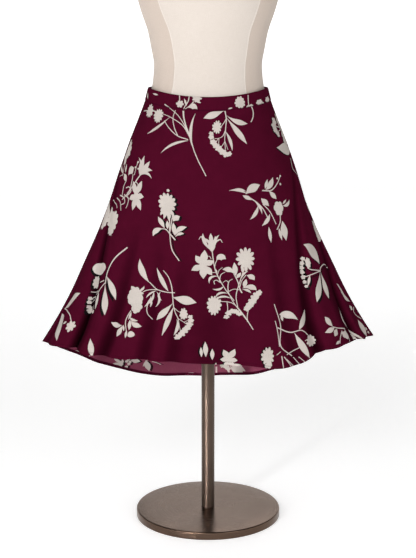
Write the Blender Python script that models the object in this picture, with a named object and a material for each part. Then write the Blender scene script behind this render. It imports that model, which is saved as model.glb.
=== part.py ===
"""An a-line skirt on a limbless dress form with a pole and a round base.

Metres, +Z up, origin at the middle of the base's underside. The wearer faces -Y and the
wearer's left is +X. Angles round the body are in degrees from the front centre, positive
towards +X, so 90 is the wearer's left side seam and 180 is the centre back.
"""

import math

import bmesh
import bpy
import numpy as np

# Driving dimensions of the stand
BASE_RADIUS = 0.150
BASE_THICKNESS = 0.016
BASE_EDGE = 0.003
POLE_RADIUS = 0.0135
SOCKET_RADIUS = 0.020
SOCKET_FLANGE_RADIUS = 0.045
SOCKET_FLANGE_THICKNESS = 0.005
SOCKET_LENGTH = 0.050
PLATE_THICKNESS = 0.008
PLATE_INSET = 0.004
TOUCH_GAP = 0.0003

# Driving dimensions of the skirt
WAIST_HEIGHT = 0.888
FRONT_WAIST_DIP = 0.014
BAND_HEIGHT = 0.025
BAND_OUTER = 0.0004
BAND_THICKNESS = 0.0020
CLOTH_THICKNESS = 0.0013
SEAM_GAP = 0.0003

# Driving dimensions of the concealed zip at the centre back
TAPE_WIDTH = 0.022
TAPE_THICKNESS = 0.0009
TAPE_PANEL_ROWS = 5
SLIDER_DROP = 0.0055
SLIDER_LENGTH = 0.0085
SLIDER_WIDTH = 0.0086
SLIDER_THICKNESS = 0.0022
LUG_THICKNESS = 0.0011
LUG_LENGTH = 0.0032
PIN_RADIUS = 0.0006
PIN_LIFT = 0.0021
PULL_WIDTH = 0.0056
PULL_LENGTH = 0.021
PULL_THICKNESS = 0.0011
PULL_EYE_OUTER = 0.00165
PULL_EYE_BORE = 0.00095

# The skirt's plan at each level below the side waist: half its width, and its depth in
# front of and behind the side seams.
LEVEL_COLUMNS = ("drop", "half_width", "front_depth", "back_depth")
SKIRT_LEVELS = (
    (0.000, 0.1180, 0.088, 0.094),
    (0.027, 0.1252, 0.096, 0.104),
    (0.060, 0.1377, 0.105, 0.117),
    (0.105, 0.1558, 0.113, 0.132),
    (0.152, 0.1728, 0.119, 0.142),
    (0.217, 0.1940, 0.126, 0.149),
    (0.282, 0.2193, 0.129, 0.151),
    (0.347, 0.2480, 0.132, 0.152),
    (0.414, 0.2780, 0.135, 0.152),
    (0.480, 0.3140, 0.139, 0.152),
    (0.514, 0.3350, 0.141, 0.152),
    (0.640, 0.4050, 0.150, 0.154),
)

# The hem's height above the floor round the body, from the wearer's right to the left.
HEM_COLUMNS = ("angle", "height")
HEM_HEIGHTS = (
    (-180, 0.2540), (-168, 0.2590), (-158, 0.2640), (-149, 0.2790), (-138, 0.3030),
    (-126, 0.3260), (-112, 0.3485), (-90, 0.3710), (-72, 0.3760), (-58, 0.3765),
    (-44, 0.3690), (-20, 0.3655), (0, 0.3600), (14, 0.3560), (22, 0.3490),
    (31, 0.3535), (41, 0.3735), (52, 0.3825), (70, 0.3865), (90, 0.3840),
    (106, 0.3720), (122, 0.3480), (140, 0.3180), (152, 0.2880), (164, 0.2640),
    (180, 0.2540),
)

# Folds hang from where they start to the hem. The angle is the fold's middle at the hem,
# drift is how much further round it lies at its start, rise is how far it stands out at
# the hem (a trough is negative), and start is its place down the skirt from 0 to 1.
FOLD_COLUMNS = ("angle", "drift", "half_angle", "rise", "start")
FOLDS = (
    (-93, 0, 8.0, 0.004, 0.40),
    (-79, -4, 5.0, -0.005, 0.35),
    (-62, -12, 7.5, 0.009, 0.22),
    (-49, -17, 4.6, -0.015, 0.16),
    (-37, -12, 6.0, 0.006, 0.36),
    (-26, -8, 4.5, -0.006, 0.45),
    (-13, -3, 6.5, 0.003, 0.30),
    (2, 0, 7.0, -0.003, 0.50),
    (20, 4, 7.5, 0.005, 0.42),
    (33, 7, 4.6, -0.009, 0.44),
    (44, 11, 5.5, 0.008, 0.28),
    (55, 16, 4.2, -0.014, 0.18),
    (67, 10, 5.5, 0.007, 0.30),
    (77, 6, 4.0, -0.008, 0.46),
    (90, 0, 8.0, 0.013, 0.50),
    (108, -6, 6.0, -0.012, 0.28),
    (122, -8, 7.0, 0.008, 0.24),
    (135, -7, 5.5, -0.011, 0.30),
    (149, -4, 7.0, 0.007, 0.42),
    (163, -3, 5.5, -0.007, 0.38),
    (178, 0, 8.0, 0.005, 0.34),
    (-166, 3, 5.5, -0.009, 0.30),
    (-152, 5, 7.0, 0.007, 0.36),
    (-139, 8, 5.5, -0.012, 0.26),
    (-125, 7, 6.5, 0.009, 0.30),
    (-110, 5, 5.5, -0.010, 0.32),
)

# The dress form's plan at each height above the floor, from its underside to its neck.
FORM_COLUMNS = ("height", "half_width", "front_depth", "back_depth")
FORM_LEVELS = (
    (0.575, 0.1500, 0.1000, 0.1060),
    (0.583, 0.1570, 0.1050, 0.1130),
    (0.600, 0.1620, 0.1090, 0.1190),
    (0.640, 0.1670, 0.1130, 0.1290),
    (0.690, 0.1680, 0.1140, 0.1350),
    (0.736, 0.1640, 0.1120, 0.1340),
    (0.783, 0.1520, 0.1080, 0.1260),
    (0.828, 0.1352, 0.1028, 0.1125),
    (0.861, 0.1205, 0.0939, 0.0990),
    (0.888, 0.1105, 0.0852, 0.0885),
    (0.912, 0.1070, 0.0825, 0.0830),
    (0.934, 0.1060, 0.0815, 0.0810),
    (0.964, 0.1110, 0.0840, 0.0825),
    (0.999, 0.1180, 0.0900, 0.0860),
    (1.034, 0.1300, 0.1000, 0.0905),
    (1.066, 0.1390, 0.1110, 0.0940),
    (1.100, 0.1475, 0.1200, 0.0975),
    (1.140, 0.1550, 0.1225, 0.1010),
    (1.180, 0.1600, 0.1140, 0.1040),
    (1.210, 0.1660, 0.1010, 0.1050),
    (1.235, 0.1695, 0.0880, 0.1030),
    (1.252, 0.1680, 0.0790, 0.0990),
    (1.265, 0.1590, 0.0730, 0.0940),
    (1.277, 0.1410, 0.0690, 0.0880),
    (1.289, 0.1160, 0.0655, 0.0810),
    (1.301, 0.0910, 0.0620, 0.0730),
    (1.314, 0.0710, 0.0585, 0.0650),
    (1.330, 0.0590, 0.0555, 0.0580),
    (1.350, 0.0550, 0.0530, 0.0550),
    (1.372, 0.0540, 0.0520, 0.0540),
    (1.379, 0.0500, 0.0480, 0.0500),
)

# How finely the solids are faceted
FRONT_STEPS = 56
BACK_STEPS = 28
SKIRT_ROWS = 14
SKIRT_ROW_CROWDING = 1.3
BAND_STEPS = 40
BAND_ROWS = 2
TAPE_STEPS = 4
FORM_STEPS = 40
FORM_ROW_SPACING = 0.026
TURNED_STEPS = 48
SMALL_STEPS = 16


def smooth_rows(rows, column, places):
    """Read one column of a table at the given places.

    Between two rows the curve is a cubic whose slope at each row is the mean slope to
    its two neighbours, so it passes through every row without corners.
    """
    table = np.array(rows, dtype=float)
    x, y = table[:, 0], table[:, column]
    slope = np.gradient(y, x)
    places = np.clip(np.asarray(places, dtype=float), x[0], x[-1])
    i = np.clip(np.searchsorted(x, places) - 1, 0, len(x) - 2)
    span = x[i + 1] - x[i]
    t = (places - x[i]) / span
    return (
        y[i] * (2 * t**3 - 3 * t**2 + 1)
        + slope[i] * span * (t**3 - 2 * t**2 + t)
        + y[i + 1] * (3 * t**2 - 2 * t**3)
        + slope[i + 1] * span * (t**3 - t**2)
    )


def waist_height(angle):
    """Height of the waistband's top edge: it dips towards the front centre."""
    front = np.clip(np.cos(np.radians(angle)), 0, 1)
    return WAIST_HEIGHT - FRONT_WAIST_DIP * front**2


def seam_height(angle):
    """Height of the seam between the waistband and the panels."""
    return waist_height(angle) - BAND_HEIGHT


def hem_height(angle):
    return smooth_rows(HEM_HEIGHTS, 1, angle)


def fold_rise(angle, down):
    """How far the folds move the cloth out: a bell across each fold, growing downwards."""
    rise = np.zeros(np.broadcast(angle, down).shape)
    for middle, drift, half_angle, depth, start in FOLDS:
        centre = middle + drift * (1 - down)
        away = (angle - centre + 180) % 360 - 180
        growth = np.clip((down - start) / (1 - start), 0, 1) ** 1.25
        rise = rise + depth * growth * np.exp(-((away / half_angle) ** 2))
    return rise


def plan_point(angle, height, out):
    """A point of the skirt's plan at a height, moved out square to its oval outline."""
    drop = WAIST_HEIGHT - height
    turn = np.radians(angle)
    width = smooth_rows(SKIRT_LEVELS, 1, drop)
    front = smooth_rows(SKIRT_LEVELS, 2, drop)
    back = smooth_rows(SKIRT_LEVELS, 3, drop)
    depth = np.where(np.cos(turn) > 0, front, back)
    across, along = np.sin(turn) / width, -np.cos(turn) / depth
    length = np.hypot(across, along)
    x = width * np.sin(turn) + out * across / length
    y = -depth * np.cos(turn) + out * along / length
    return np.stack([x, y, height + 0 * x], axis=-1)


def skirt_point(angle, down, out):
    """A point of the skirt panels: down runs from 0 at the seam to 1 at the hem."""
    top = seam_height(angle) - SEAM_GAP
    height = top + (hem_height(angle) - top) * down
    return plan_point(angle, height, out + fold_rise(angle, down))


def band_point(angle, down, out):
    """A point of the waistband: down runs from 0 at its top edge to 1 at the seam."""
    return plan_point(angle, waist_height(angle) - BAND_HEIGHT * down, out)


def skirt_downs():
    """The panels' rows, which lie closer together over the hips."""
    return np.linspace(0, 1, SKIRT_ROWS + 1) ** SKIRT_ROW_CROWDING


def band_downs():
    return np.linspace(0, 1, BAND_ROWS + 1)


def half_gap_angle(seam_angle, height):
    """The angle that half a seam's gap takes at a side seam or at the centre back."""
    drop = WAIST_HEIGHT - height
    column = 3 if abs(abs(seam_angle) - 90) < 1 else 1
    return np.degrees(0.5 * SEAM_GAP / smooth_rows(SKIRT_LEVELS, column, drop))


def wall_grid(point, start, end, steps, downs, out):
    """A grid of points of one cloth piece between two seams, at one depth in its wall."""
    down = downs[:, None]
    across = np.linspace(0, 1, steps + 1)[None, :]
    height_at_start = point(np.array(float(start)), down, 0.0)[..., 2]
    height_at_end = point(np.array(float(end)), down, 0.0)[..., 2]
    first = start + half_gap_angle(start, height_at_start)
    last = end - half_gap_angle(end, height_at_end)
    return point(first + (last - first) * across, down + 0 * across, out)


def mesh_object(name, points, faces, material):
    """Make an object from points and faces, smooth where it is round."""
    mesh = bpy.data.meshes.new(name)
    mesh.from_pydata([tuple(p) for p in points], [], faces)
    mesh.update()
    mesh.shade_smooth()
    mesh.set_sharp_from_angle(angle=math.radians(40))
    mesh.materials.append(material)
    obj = bpy.data.objects.new(name, mesh)
    bpy.context.scene.collection.objects.link(obj)
    return obj


def wall_object(name, outer, inner, material):
    """A closed wall between an outer and an inner grid, joined round its four edges."""
    rows, columns = outer.shape[:2]
    index = np.arange(rows * columns).reshape(rows, columns)
    inside = index + rows * columns
    a, b, c, d = index[:-1, :-1], index[1:, :-1], index[1:, 1:], index[:-1, 1:]
    faces = np.stack([a, b, c, d], axis=-1).reshape(-1, 4).tolist()
    shift = rows * columns
    faces += (np.stack([d, c, b, a], axis=-1) + shift).reshape(-1, 4).tolist()
    edges = (
        (index[0], inside[0]),
        (index[-1][::-1], inside[-1][::-1]),
        (index[::-1, 0], inside[::-1, 0]),
        (index[:, -1], inside[:, -1]),
    )
    for out_row, in_row in edges:
        rim = np.stack([out_row[:-1], out_row[1:], in_row[1:], in_row[:-1]], axis=-1)
        faces += rim.tolist()
    points = np.concatenate([outer.reshape(-1, 3), inner.reshape(-1, 3)])
    return mesh_object(name, points, faces, material)


def skirt_piece(name, start, end, steps, cloth):
    """One panel of the skirt between two seams, as a wall of even thickness."""
    outer = wall_grid(skirt_point, start, end, steps, skirt_downs(), 0.0)
    inner = wall_grid(skirt_point, start, end, steps, skirt_downs(), -CLOTH_THICKNESS)
    wall_object(name, outer, inner, cloth)


def band_piece(name, start, end, steps, cloth):
    """One piece of the waistband between two seams."""
    outer = wall_grid(band_point, start, end, steps, band_downs(), BAND_OUTER)
    inner = wall_grid(band_point, start, end, steps, band_downs(), BAND_OUTER - BAND_THICKNESS)
    wall_object(name, outer, inner, cloth)


def turned_object(name, profile, steps, material):
    """A solid turned about the Z axis from a profile of radius and height, top to bottom."""
    turn = np.radians(np.arange(steps) * 360 / steps)
    ring = np.stack([np.cos(turn), np.sin(turn)], axis=-1)
    points = [np.column_stack([radius * ring, np.full(steps, z)]) for radius, z in profile]
    count = len(profile)
    faces = []
    for row in range(count - 1):
        for i in range(steps):
            j = (i + 1) % steps
            faces.append((row * steps + i, (row + 1) * steps + i,
                          (row + 1) * steps + j, row * steps + j))
    if profile[0] != profile[-1]:
        faces.append(tuple(range(steps)))
        faces.append(tuple(reversed(range((count - 1) * steps, count * steps))))
        return mesh_object(name, np.concatenate(points), faces, material)
    last = (count - 1) * steps
    faces = [tuple(i - last if i >= last else i for i in face) for face in faces]
    return mesh_object(name, np.concatenate(points[:-1]), faces, material)


def material(name, colour, roughness, metallic=0.0):
    """A Principled material."""
    result = bpy.data.materials.new(name)
    result.use_nodes = True
    shader = result.node_tree.nodes["Principled BSDF"]
    shader.inputs["Base Color"].default_value = (*colour, 1.0)
    shader.inputs["Roughness"].default_value = roughness
    shader.inputs["Metallic"].default_value = metallic
    return result


def form_ring(height, scale=1.0):
    """A ring of the dress form at one height: two half ovals that meet at the sides."""
    turn = np.radians(np.arange(FORM_STEPS) * 360 / FORM_STEPS)
    width = smooth_rows(FORM_LEVELS, 1, height) * scale
    front = smooth_rows(FORM_LEVELS, 2, height) * scale
    back = smooth_rows(FORM_LEVELS, 3, height) * scale
    depth = np.where(np.cos(turn) > 0, front, back)
    x = width * np.sin(turn)
    return np.column_stack([x, -depth * np.cos(turn), np.full(FORM_STEPS, height)])


def ring_solid(name, rings, cloth):
    """A closed solid through rings given from the bottom up."""
    faces = [tuple(reversed(range(FORM_STEPS)))]
    for row in range(len(rings) - 1):
        low, high = row * FORM_STEPS, (row + 1) * FORM_STEPS
        for i in range(FORM_STEPS):
            j = (i + 1) % FORM_STEPS
            faces.append((low + i, low + j, high + j, high + i))
    top = (len(rings) - 1) * FORM_STEPS
    faces.append(tuple(range(top, top + FORM_STEPS)))
    return mesh_object(name, np.concatenate(rings), faces, cloth)


def make_base(steel):
    """The heavy round plate that stands on the floor, its edges eased."""
    quarter = np.radians((90, 60, 30, 0))
    centre = BASE_RADIUS - BASE_EDGE
    top = [(centre + BASE_EDGE * math.cos(a),
            BASE_THICKNESS - BASE_EDGE + BASE_EDGE * math.sin(a)) for a in quarter]
    foot = [(BASE_RADIUS, BASE_EDGE / 3), (BASE_RADIUS - BASE_EDGE / 3, 0.0)]
    turned_object("base_disc", top + foot, TURNED_STEPS, steel)


def make_pole(steel):
    """The pole, from the base's face up to the plate under the form."""
    low = BASE_THICKNESS + TOUCH_GAP
    high = plate_underside() - TOUCH_GAP
    turned_object("pole", [(POLE_RADIUS, high), (POLE_RADIUS, low)], TURNED_STEPS // 2, steel)


def plate_underside():
    return FORM_LEVELS[0][0] - TOUCH_GAP - PLATE_THICKNESS


def make_socket(steel):
    """The flanged socket that holds the pole's top under the form's plate."""
    top = plate_underside() - TOUCH_GAP
    bore = POLE_RADIUS + TOUCH_GAP
    low = top - SOCKET_LENGTH
    shoulder = top - SOCKET_FLANGE_THICKNESS
    profile = [(bore, top), (SOCKET_FLANGE_RADIUS, top), (SOCKET_FLANGE_RADIUS, shoulder),
               (SOCKET_RADIUS, shoulder), (SOCKET_RADIUS, low), (bore, low), (bore, top)]
    turned_object("pole_socket", profile, TURNED_STEPS // 2, steel)


def make_form(linen, board):
    """The whole limbless form, and the board that closes it underneath."""
    levels = [row[0] for row in FORM_LEVELS]
    heights = levels[:1]
    for low, high in zip(levels, levels[1:]):
        parts = math.ceil((high - low) / FORM_ROW_SPACING)
        heights += np.linspace(low, high, parts + 1)[1:].tolist()
    ring_solid("form_torso", [form_ring(height) for height in heights], linen)

    inset = 1 - PLATE_INSET / FORM_LEVELS[0][2]
    upper = form_ring(levels[0], inset)
    upper[:, 2] = plate_underside() + PLATE_THICKNESS
    lower = upper.copy()
    lower[:, 2] = plate_underside()
    ring_solid("form_plate", [lower, upper], board)


def make_skirt(cloth):
    """The panels: one front, and two backs that meet at the centre back seam."""
    skirt_piece("skirt_front", -90, 90, FRONT_STEPS, cloth)
    skirt_piece("skirt_back_left", 90, 180, BACK_STEPS, cloth)
    skirt_piece("skirt_back_right", -180, -90, BACK_STEPS, cloth)


def make_waistband(cloth):
    """The shaped band in three pieces, seamed at the sides and open at the zip."""
    band_piece("waistband_front", -90, 90, BAND_STEPS, cloth)
    band_piece("waistband_back_left", 90, 180, BAND_STEPS // 2, cloth)
    band_piece("waistband_back_right", -180, -90, BAND_STEPS // 2, cloth)


def tape_rows(point, downs, out):
    """Rows of the zip's tape, as wide at each height, from a piece's own rows."""
    down = downs[:, None]
    height = point(np.array(180.0), down, 0.0)[..., 2]
    width = smooth_rows(SKIRT_LEVELS, 1, WAIST_HEIGHT - height)
    side = np.linspace(-1, 1, TAPE_STEPS + 1)[None, :]
    angle = side * np.degrees(0.5 * TAPE_WIDTH / width)
    return point(np.where(angle > 0, angle - 180, angle + 180), down, out)


def tape_grid(out):
    """Points of the zip's tape: those of the band's and the panels' rows, moved in."""
    on_band = tape_rows(band_point, band_downs(), out)
    on_panels = tape_rows(skirt_point, skirt_downs()[1:TAPE_PANEL_ROWS + 1], out)
    return np.concatenate([on_band, on_panels])


def make_zip_tape(cloth):
    """The closed zip's tapes and chain, behind the centre back seam."""
    outside = BAND_OUTER - BAND_THICKNESS - SEAM_GAP
    wall_object("zip_tape", tape_grid(outside), tape_grid(outside - TAPE_THICKNESS), cloth)


def zip_frame():
    """Where the slider sits: a point on the band, and directions out of and down it."""
    spot = band_point(np.array(180.0), np.array(SLIDER_DROP / BAND_HEIGHT), BAND_OUTER)
    below = band_point(np.array(180.0), np.array(1.0), BAND_OUTER)
    down = below - spot
    down /= np.linalg.norm(down)
    out = np.array((0.0, -down[2], down[1]))
    return spot, out, down


def placed_solid(name, low, high, metal):
    """A box with eased edges, measured across, out of and down the band."""
    spot, out, down = zip_frame()
    work = bmesh.new()
    bmesh.ops.create_cube(work, size=1.0)
    for vertex in work.verts:
        across, lift, drop = (low[k] + (high[k] - low[k]) * (vertex.co[k] + 0.5) for k in range(3))
        vertex.co = spot + lift * out + drop * down + across * np.array((1.0, 0.0, 0.0))
    bmesh.ops.recalc_face_normals(work, faces=work.faces)
    return work_object(name, work, metal)


def placed_rod(name, radius, half_width, lift, metal):
    """A round rod across the band, at a lift out of it."""
    spot, out, down = zip_frame()
    turn = np.radians(np.arange(SMALL_STEPS) * 360 / SMALL_STEPS)
    middle = spot + lift * out
    ring = middle + radius * (np.cos(turn)[:, None] * out + np.sin(turn)[:, None] * down)
    work = bmesh.new()
    left = [work.verts.new(p + (-half_width, 0, 0)) for p in ring]
    right = [work.verts.new(p + (half_width, 0, 0)) for p in ring]
    work.faces.new(left)
    work.faces.new(right)
    for i in range(SMALL_STEPS):
        j = (i + 1) % SMALL_STEPS
        work.faces.new((left[i], left[j], right[j], right[i]))
    bmesh.ops.recalc_face_normals(work, faces=work.faces)
    return work_object(name, work, metal)


def work_object(name, work, metal):
    mesh = bpy.data.meshes.new(name)
    work.to_mesh(mesh)
    work.free()
    mesh.materials.append(metal)
    obj = bpy.data.objects.new(name, mesh)
    bpy.context.scene.collection.objects.link(obj)
    return obj


def combine(target, other, operation):
    """Join or cut a solid with another, which then only guides the shape."""
    change = target.modifiers.new(other.name, "BOOLEAN")
    change.operation = operation
    change.solver = "EXACT"
    change.object = other
    other.hide_render = True
    other.display_type = "WIRE"


def pin_lift():
    return TOUCH_GAP + SLIDER_THICKNESS + PIN_LIFT


def make_slider(metal):
    """The slider: a block on the seam with two lugs and a pin for the pull tab."""
    half_length = 0.5 * SLIDER_LENGTH
    half_width = 0.5 * SLIDER_WIDTH
    face = TOUCH_GAP + SLIDER_THICKNESS
    slider = placed_solid("zip_slider", (-half_width, TOUCH_GAP, -half_length),
                          (half_width, face, half_length), metal)
    for side, word in ((-1, "right"), (1, "left")):
        edges = sorted((side * half_width * 0.999, side * (half_width - LUG_THICKNESS)))
        lug = placed_solid("lug_" + word, (edges[0], face - PIN_RADIUS, -0.5 * LUG_LENGTH),
                           (edges[1], pin_lift() + 2 * PIN_RADIUS, 0.5 * LUG_LENGTH), metal)
        combine(slider, lug, "UNION")
    pin = placed_rod("slider_pin", PIN_RADIUS, half_width - 0.5 * LUG_THICKNESS,
                     pin_lift(), metal)
    combine(slider, pin, "UNION")


def make_pull(metal):
    """The pull tab, hung on the slider's pin by an eye and lying down the band."""
    half_width = 0.5 * PULL_WIDTH
    low = (-half_width, pin_lift() - 0.5 * PULL_THICKNESS, 0.6 * PULL_EYE_OUTER)
    high = (half_width, pin_lift() + 0.5 * PULL_THICKNESS, PULL_LENGTH)
    pull = placed_solid("zip_pull", low, high, metal)
    eye = placed_rod("pull_eye", PULL_EYE_OUTER, half_width * 0.999, pin_lift(), metal)
    bore = placed_rod("pull_bore", PULL_EYE_BORE, 2 * half_width, pin_lift(), metal)
    combine(pull, eye, "UNION")
    combine(pull, bore, "DIFFERENCE")


for old in list(bpy.data.objects):
    bpy.data.objects.remove(old, do_unlink=True)

printed_cloth = material("printed_cloth", (0.080, 0.0045, 0.018), 0.75)
band_cloth = material("band_cloth", (0.080, 0.0045, 0.018), 0.75)
tape_cloth = material("tape_cloth", (0.060, 0.004, 0.015), 0.8)
form_linen = material("form_linen", (0.82, 0.75, 0.66), 0.9)
form_board = material("form_board", (0.45, 0.33, 0.22), 0.6)
bronze_steel = material("bronze_steel", (0.20, 0.155, 0.125), 0.35, 1.0)
socket_steel = material("socket_steel", (0.12, 0.10, 0.09), 0.4, 1.0)
zip_metal = material("zip_metal", (0.10, 0.02, 0.035), 0.4, 0.6)

make_base(bronze_steel)
make_pole(bronze_steel)
make_socket(socket_steel)
make_form(form_linen, form_board)
make_skirt(printed_cloth)
make_waistband(band_cloth)
make_zip_tape(tape_cloth)
make_slider(zip_metal)
make_pull(zip_metal)
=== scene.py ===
import math

import bpy
import numpy as np
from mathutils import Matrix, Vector
from mathutils.geometry import delaunay_2d_cdt


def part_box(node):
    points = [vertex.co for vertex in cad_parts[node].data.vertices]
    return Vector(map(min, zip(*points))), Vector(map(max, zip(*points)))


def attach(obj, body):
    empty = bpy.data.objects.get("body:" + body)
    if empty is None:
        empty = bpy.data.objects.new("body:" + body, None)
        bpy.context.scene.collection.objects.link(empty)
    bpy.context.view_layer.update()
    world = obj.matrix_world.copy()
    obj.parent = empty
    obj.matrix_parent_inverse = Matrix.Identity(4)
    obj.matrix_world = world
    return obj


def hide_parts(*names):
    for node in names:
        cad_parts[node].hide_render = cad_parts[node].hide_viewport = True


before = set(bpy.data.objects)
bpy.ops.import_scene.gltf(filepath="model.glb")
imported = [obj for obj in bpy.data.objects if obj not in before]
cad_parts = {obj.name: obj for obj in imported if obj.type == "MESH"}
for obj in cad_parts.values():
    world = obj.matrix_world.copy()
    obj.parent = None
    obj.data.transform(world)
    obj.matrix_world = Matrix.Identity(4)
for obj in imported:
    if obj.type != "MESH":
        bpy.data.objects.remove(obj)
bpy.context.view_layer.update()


# ---- The studio ------------------------------------------------------------------------
# A plain white cove: a wide floor that curves up into a low white wall all round, open at
# the top. It is lit by the open top, by its own faint glow and by five soft lamps.

def tube_faces(rows, columns, over=False):
    """Faces of a tube of points, ring by ring, then a cap on its first ring and one on its
    last; over turns the faces of its side over."""
    index = np.arange(rows * columns).reshape(rows, columns)
    after = np.roll(index, -1, axis=1)
    side = np.stack([index[:-1], index[1:], after[1:], after[:-1]], axis=-1).reshape(-1, 4)
    if over:
        side = side[:, ::-1]
    return side.tolist() + [index[0].tolist(), index[-1, ::-1].tolist()]


def shaped(name, points, faces, finish, sharp=40):
    """Make an object of points and faces, smooth except where faces meet at a sharp angle."""
    mesh = bpy.data.meshes.new(name)
    mesh.from_pydata(np.asarray(points).reshape(-1, 3).tolist(), [], faces)
    mesh.shade_smooth()
    mesh.set_sharp_from_angle(angle=math.radians(sharp))
    mesh.materials.append(finish)
    piece = bpy.data.objects.new(name, mesh)
    bpy.context.scene.collection.objects.link(piece)
    return piece


def carried(profile, turn):
    """A profile of (radius, height) carried round the upright axis, to each turn."""
    radius, height = np.array(profile, dtype=float).T[:, :, None]
    return np.stack([radius * np.cos(turn), radius * np.sin(turn), height + 0 * turn], axis=-1)


def turned(name, profile, steps, finish, sharp=40):
    """Carry a profile once round the upright axis, and close its two ends."""
    points = carried(profile, np.linspace(0, 2 * np.pi, steps, endpoint=False))
    return shaped(name, points, tube_faces(len(profile), steps), finish, sharp)


def principled(name, metallic=0.0, roughness=0.5, **sockets):
    """A material with the Principled shader; its plain numbers go on the shader's own sockets."""
    finish = bpy.data.materials.new(name)
    finish.use_nodes = True
    shader = finish.node_tree.nodes["Principled BSDF"]
    shader.inputs["Metallic"].default_value = metallic
    shader.inputs["Roughness"].default_value = roughness
    for socket, value in sockets.items():
        shader.inputs[socket.replace("_", " ")].default_value = value
    return finish, finish.node_tree, shader


def wire(shader, **sources):
    """Link sockets to the shader's own inputs; an input's name has _ for a space."""
    for socket, source in sources.items():
        shader.id_data.links.new(source, shader.inputs[socket.replace("_", " ")])


def node(tree, kind, inputs=None, **settings):
    """Add a shader node and return its first output in use. An input given as a socket is
    linked to it, and a number is set."""
    made = tree.nodes.new("ShaderNode" + kind)
    made.location = (200 * (len(tree.nodes) % 12) - 2600, -240 * (len(tree.nodes) // 12))
    for setting, value in settings.items():
        setattr(made, setting, value)
    for place, value in (inputs or {}).items():
        if isinstance(value, bpy.types.NodeSocket):
            tree.links.new(value, made.inputs[place])
        else:
            made.inputs[place].default_value = value
    return next(output for output in made.outputs if output.enabled)


def own_place(tree):
    """The place on the piece, in metres."""
    return node(tree, "TexCoord").node.outputs["Object"]


def maths(tree, operation, *values):
    """A shader's sum: one operation on its values in turn."""
    return node(tree, "Math", dict(enumerate(values)), operation=operation)


def noise(tree, place, scale, detail=2.0, **inputs):
    """Smooth noise: bumps of 1 / scale metres, with finer ones added detail times."""
    return node(tree, "TexNoise", {"Vector": place, "Scale": scale, "Detail": detail, **inputs})


def ranged(tree, value, low, high, to_low=0.0, to_high=1.0, **settings):
    """Carry a number from one range to another, and hold it between its ends."""
    return node(tree, "MapRange", {"Value": value, "From Min": low, "From Max": high,
                                   "To Min": to_low, "To Max": to_high}, **settings)


def ramped(tree, value, low, low_colour, high, high_colour):
    """A colour that runs from one to another, as a number runs from low to high."""
    made = node(tree, "ValToRGB", {"Fac": value})
    ends = zip(made.node.color_ramp.elements, (low, high), (low_colour, high_colour))
    for end, place, colour in ends:
        end.position = place
        end.color = (*colour, 1)
    return made


def mixed(tree, factor, first, second, blend="MIX"):
    """Two colours mixed or multiplied by a factor; a colour is a socket or three numbers."""
    first, second = ((*colour, 1) if isinstance(colour, tuple) else colour
                     for colour in (first, second))
    return node(tree, "Mix", {"Factor": factor, "A": first, "B": second},
                data_type="RGBA", blend_type=blend)


def bumped(tree, height, strength, distance, **under):
    """Bump from a height in units of distance, laid over any Normal that is given."""
    return node(tree, "Bump", {"Height": height, "Strength": strength, "Distance": distance,
                               **under})


FLOOR_RADIUS = 9.0
COVE_RADIUS = 2.5
COVE_TOP = 4.0
COVE_STEPS = 72

white, white_tree, white_shader = principled(
    "white_cove", roughness=0.9, Emission_Color=(1, 1, 1, 1)
)
paint_marks = node(white_tree, "TexNoise", {"Scale": 1.5, "Detail": 3.0})
paint_shade = ramped(white_tree, paint_marks, 0.0, (0.78, 0.78, 0.78), 1.0, (0.82, 0.82, 0.82))
cove_away = node(white_tree, "VectorMath", {0: own_place(white_tree)}, operation="LENGTH")
cove_glow = ranged(white_tree, cove_away, 1.0, 7.0, 0.50, 0.75)
wire(white_shader, Base_Color=paint_shade, Emission_Strength=cove_glow)

curl = np.linspace(0, np.pi / 2, 13)
cove_radius = np.concatenate([[0.02, 1, 3, 6], FLOOR_RADIUS + COVE_RADIUS * np.sin(curl)])
cove_height = np.concatenate([[0, 0, 0, 0], COVE_RADIUS * (1 - np.cos(curl))])
cove_profile = np.stack([cove_radius, cove_height], axis=-1)
cove_profile = np.concatenate([cove_profile, [[FLOOR_RADIUS + COVE_RADIUS, COVE_TOP]]])
cove_turn = -np.linspace(0, 2 * np.pi, COVE_STEPS, endpoint=False)
cove_faces = tube_faces(len(cove_profile), COVE_STEPS, over=True)[:-1]
cove = shaped("cove", carried(cove_profile, cove_turn), cove_faces, white)

world = bpy.data.worlds.new("studio_air")
world.use_nodes = True
world.node_tree.nodes["Background"].inputs["Color"].default_value = (1.0, 0.985, 0.97, 1)
world.node_tree.nodes["Background"].inputs["Strength"].default_value = 0.14
bpy.context.scene.world = world
bpy.context.scene.view_settings.view_transform = "Standard"


def soft_lamp(name, place, aim, width, height, power, spread=180):
    """An oblong area lamp at a place, turned to face the spot it is aimed at."""
    lamp = bpy.data.lights.new(name, "AREA")
    lamp.spread = math.radians(spread)
    lamp.shape = "RECTANGLE"
    lamp.size = width
    lamp.size_y = height
    lamp.energy = power
    lamp_object = bpy.data.objects.new(name, lamp)
    lamp_object.location = place
    away = Vector(place) - Vector(aim)
    lamp_object.rotation_euler = away.to_track_quat("Z", "Y").to_euler()
    bpy.context.scene.collection.objects.link(lamp_object)


# name, place, the spot it is aimed at, width, height, watts and, for one, a narrow spread
soft_lamp("key_lamp", (-1.2, -3.8, 2.6), (0, 0, 0.75), 1.6, 1.6, 60)
soft_lamp("strip_lamp", (-1.41, -2.54, 0.98), (0, 0, 0.60), 0.22, 1.9, 34)
soft_lamp("pole_lamp", (-0.50, -0.90, 0.13), (0, 0, 0.13), 0.26, 0.28, 0.32, 12)
soft_lamp("fill_lamp", (2.4, -3.2, 1.9), (0, 0, 0.7), 1.8, 1.8, 30)
soft_lamp("back_lamp", (0.6, 3.8, 3.0), (0, 0, 0.8), 2.4, 2.4, 38)

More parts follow.
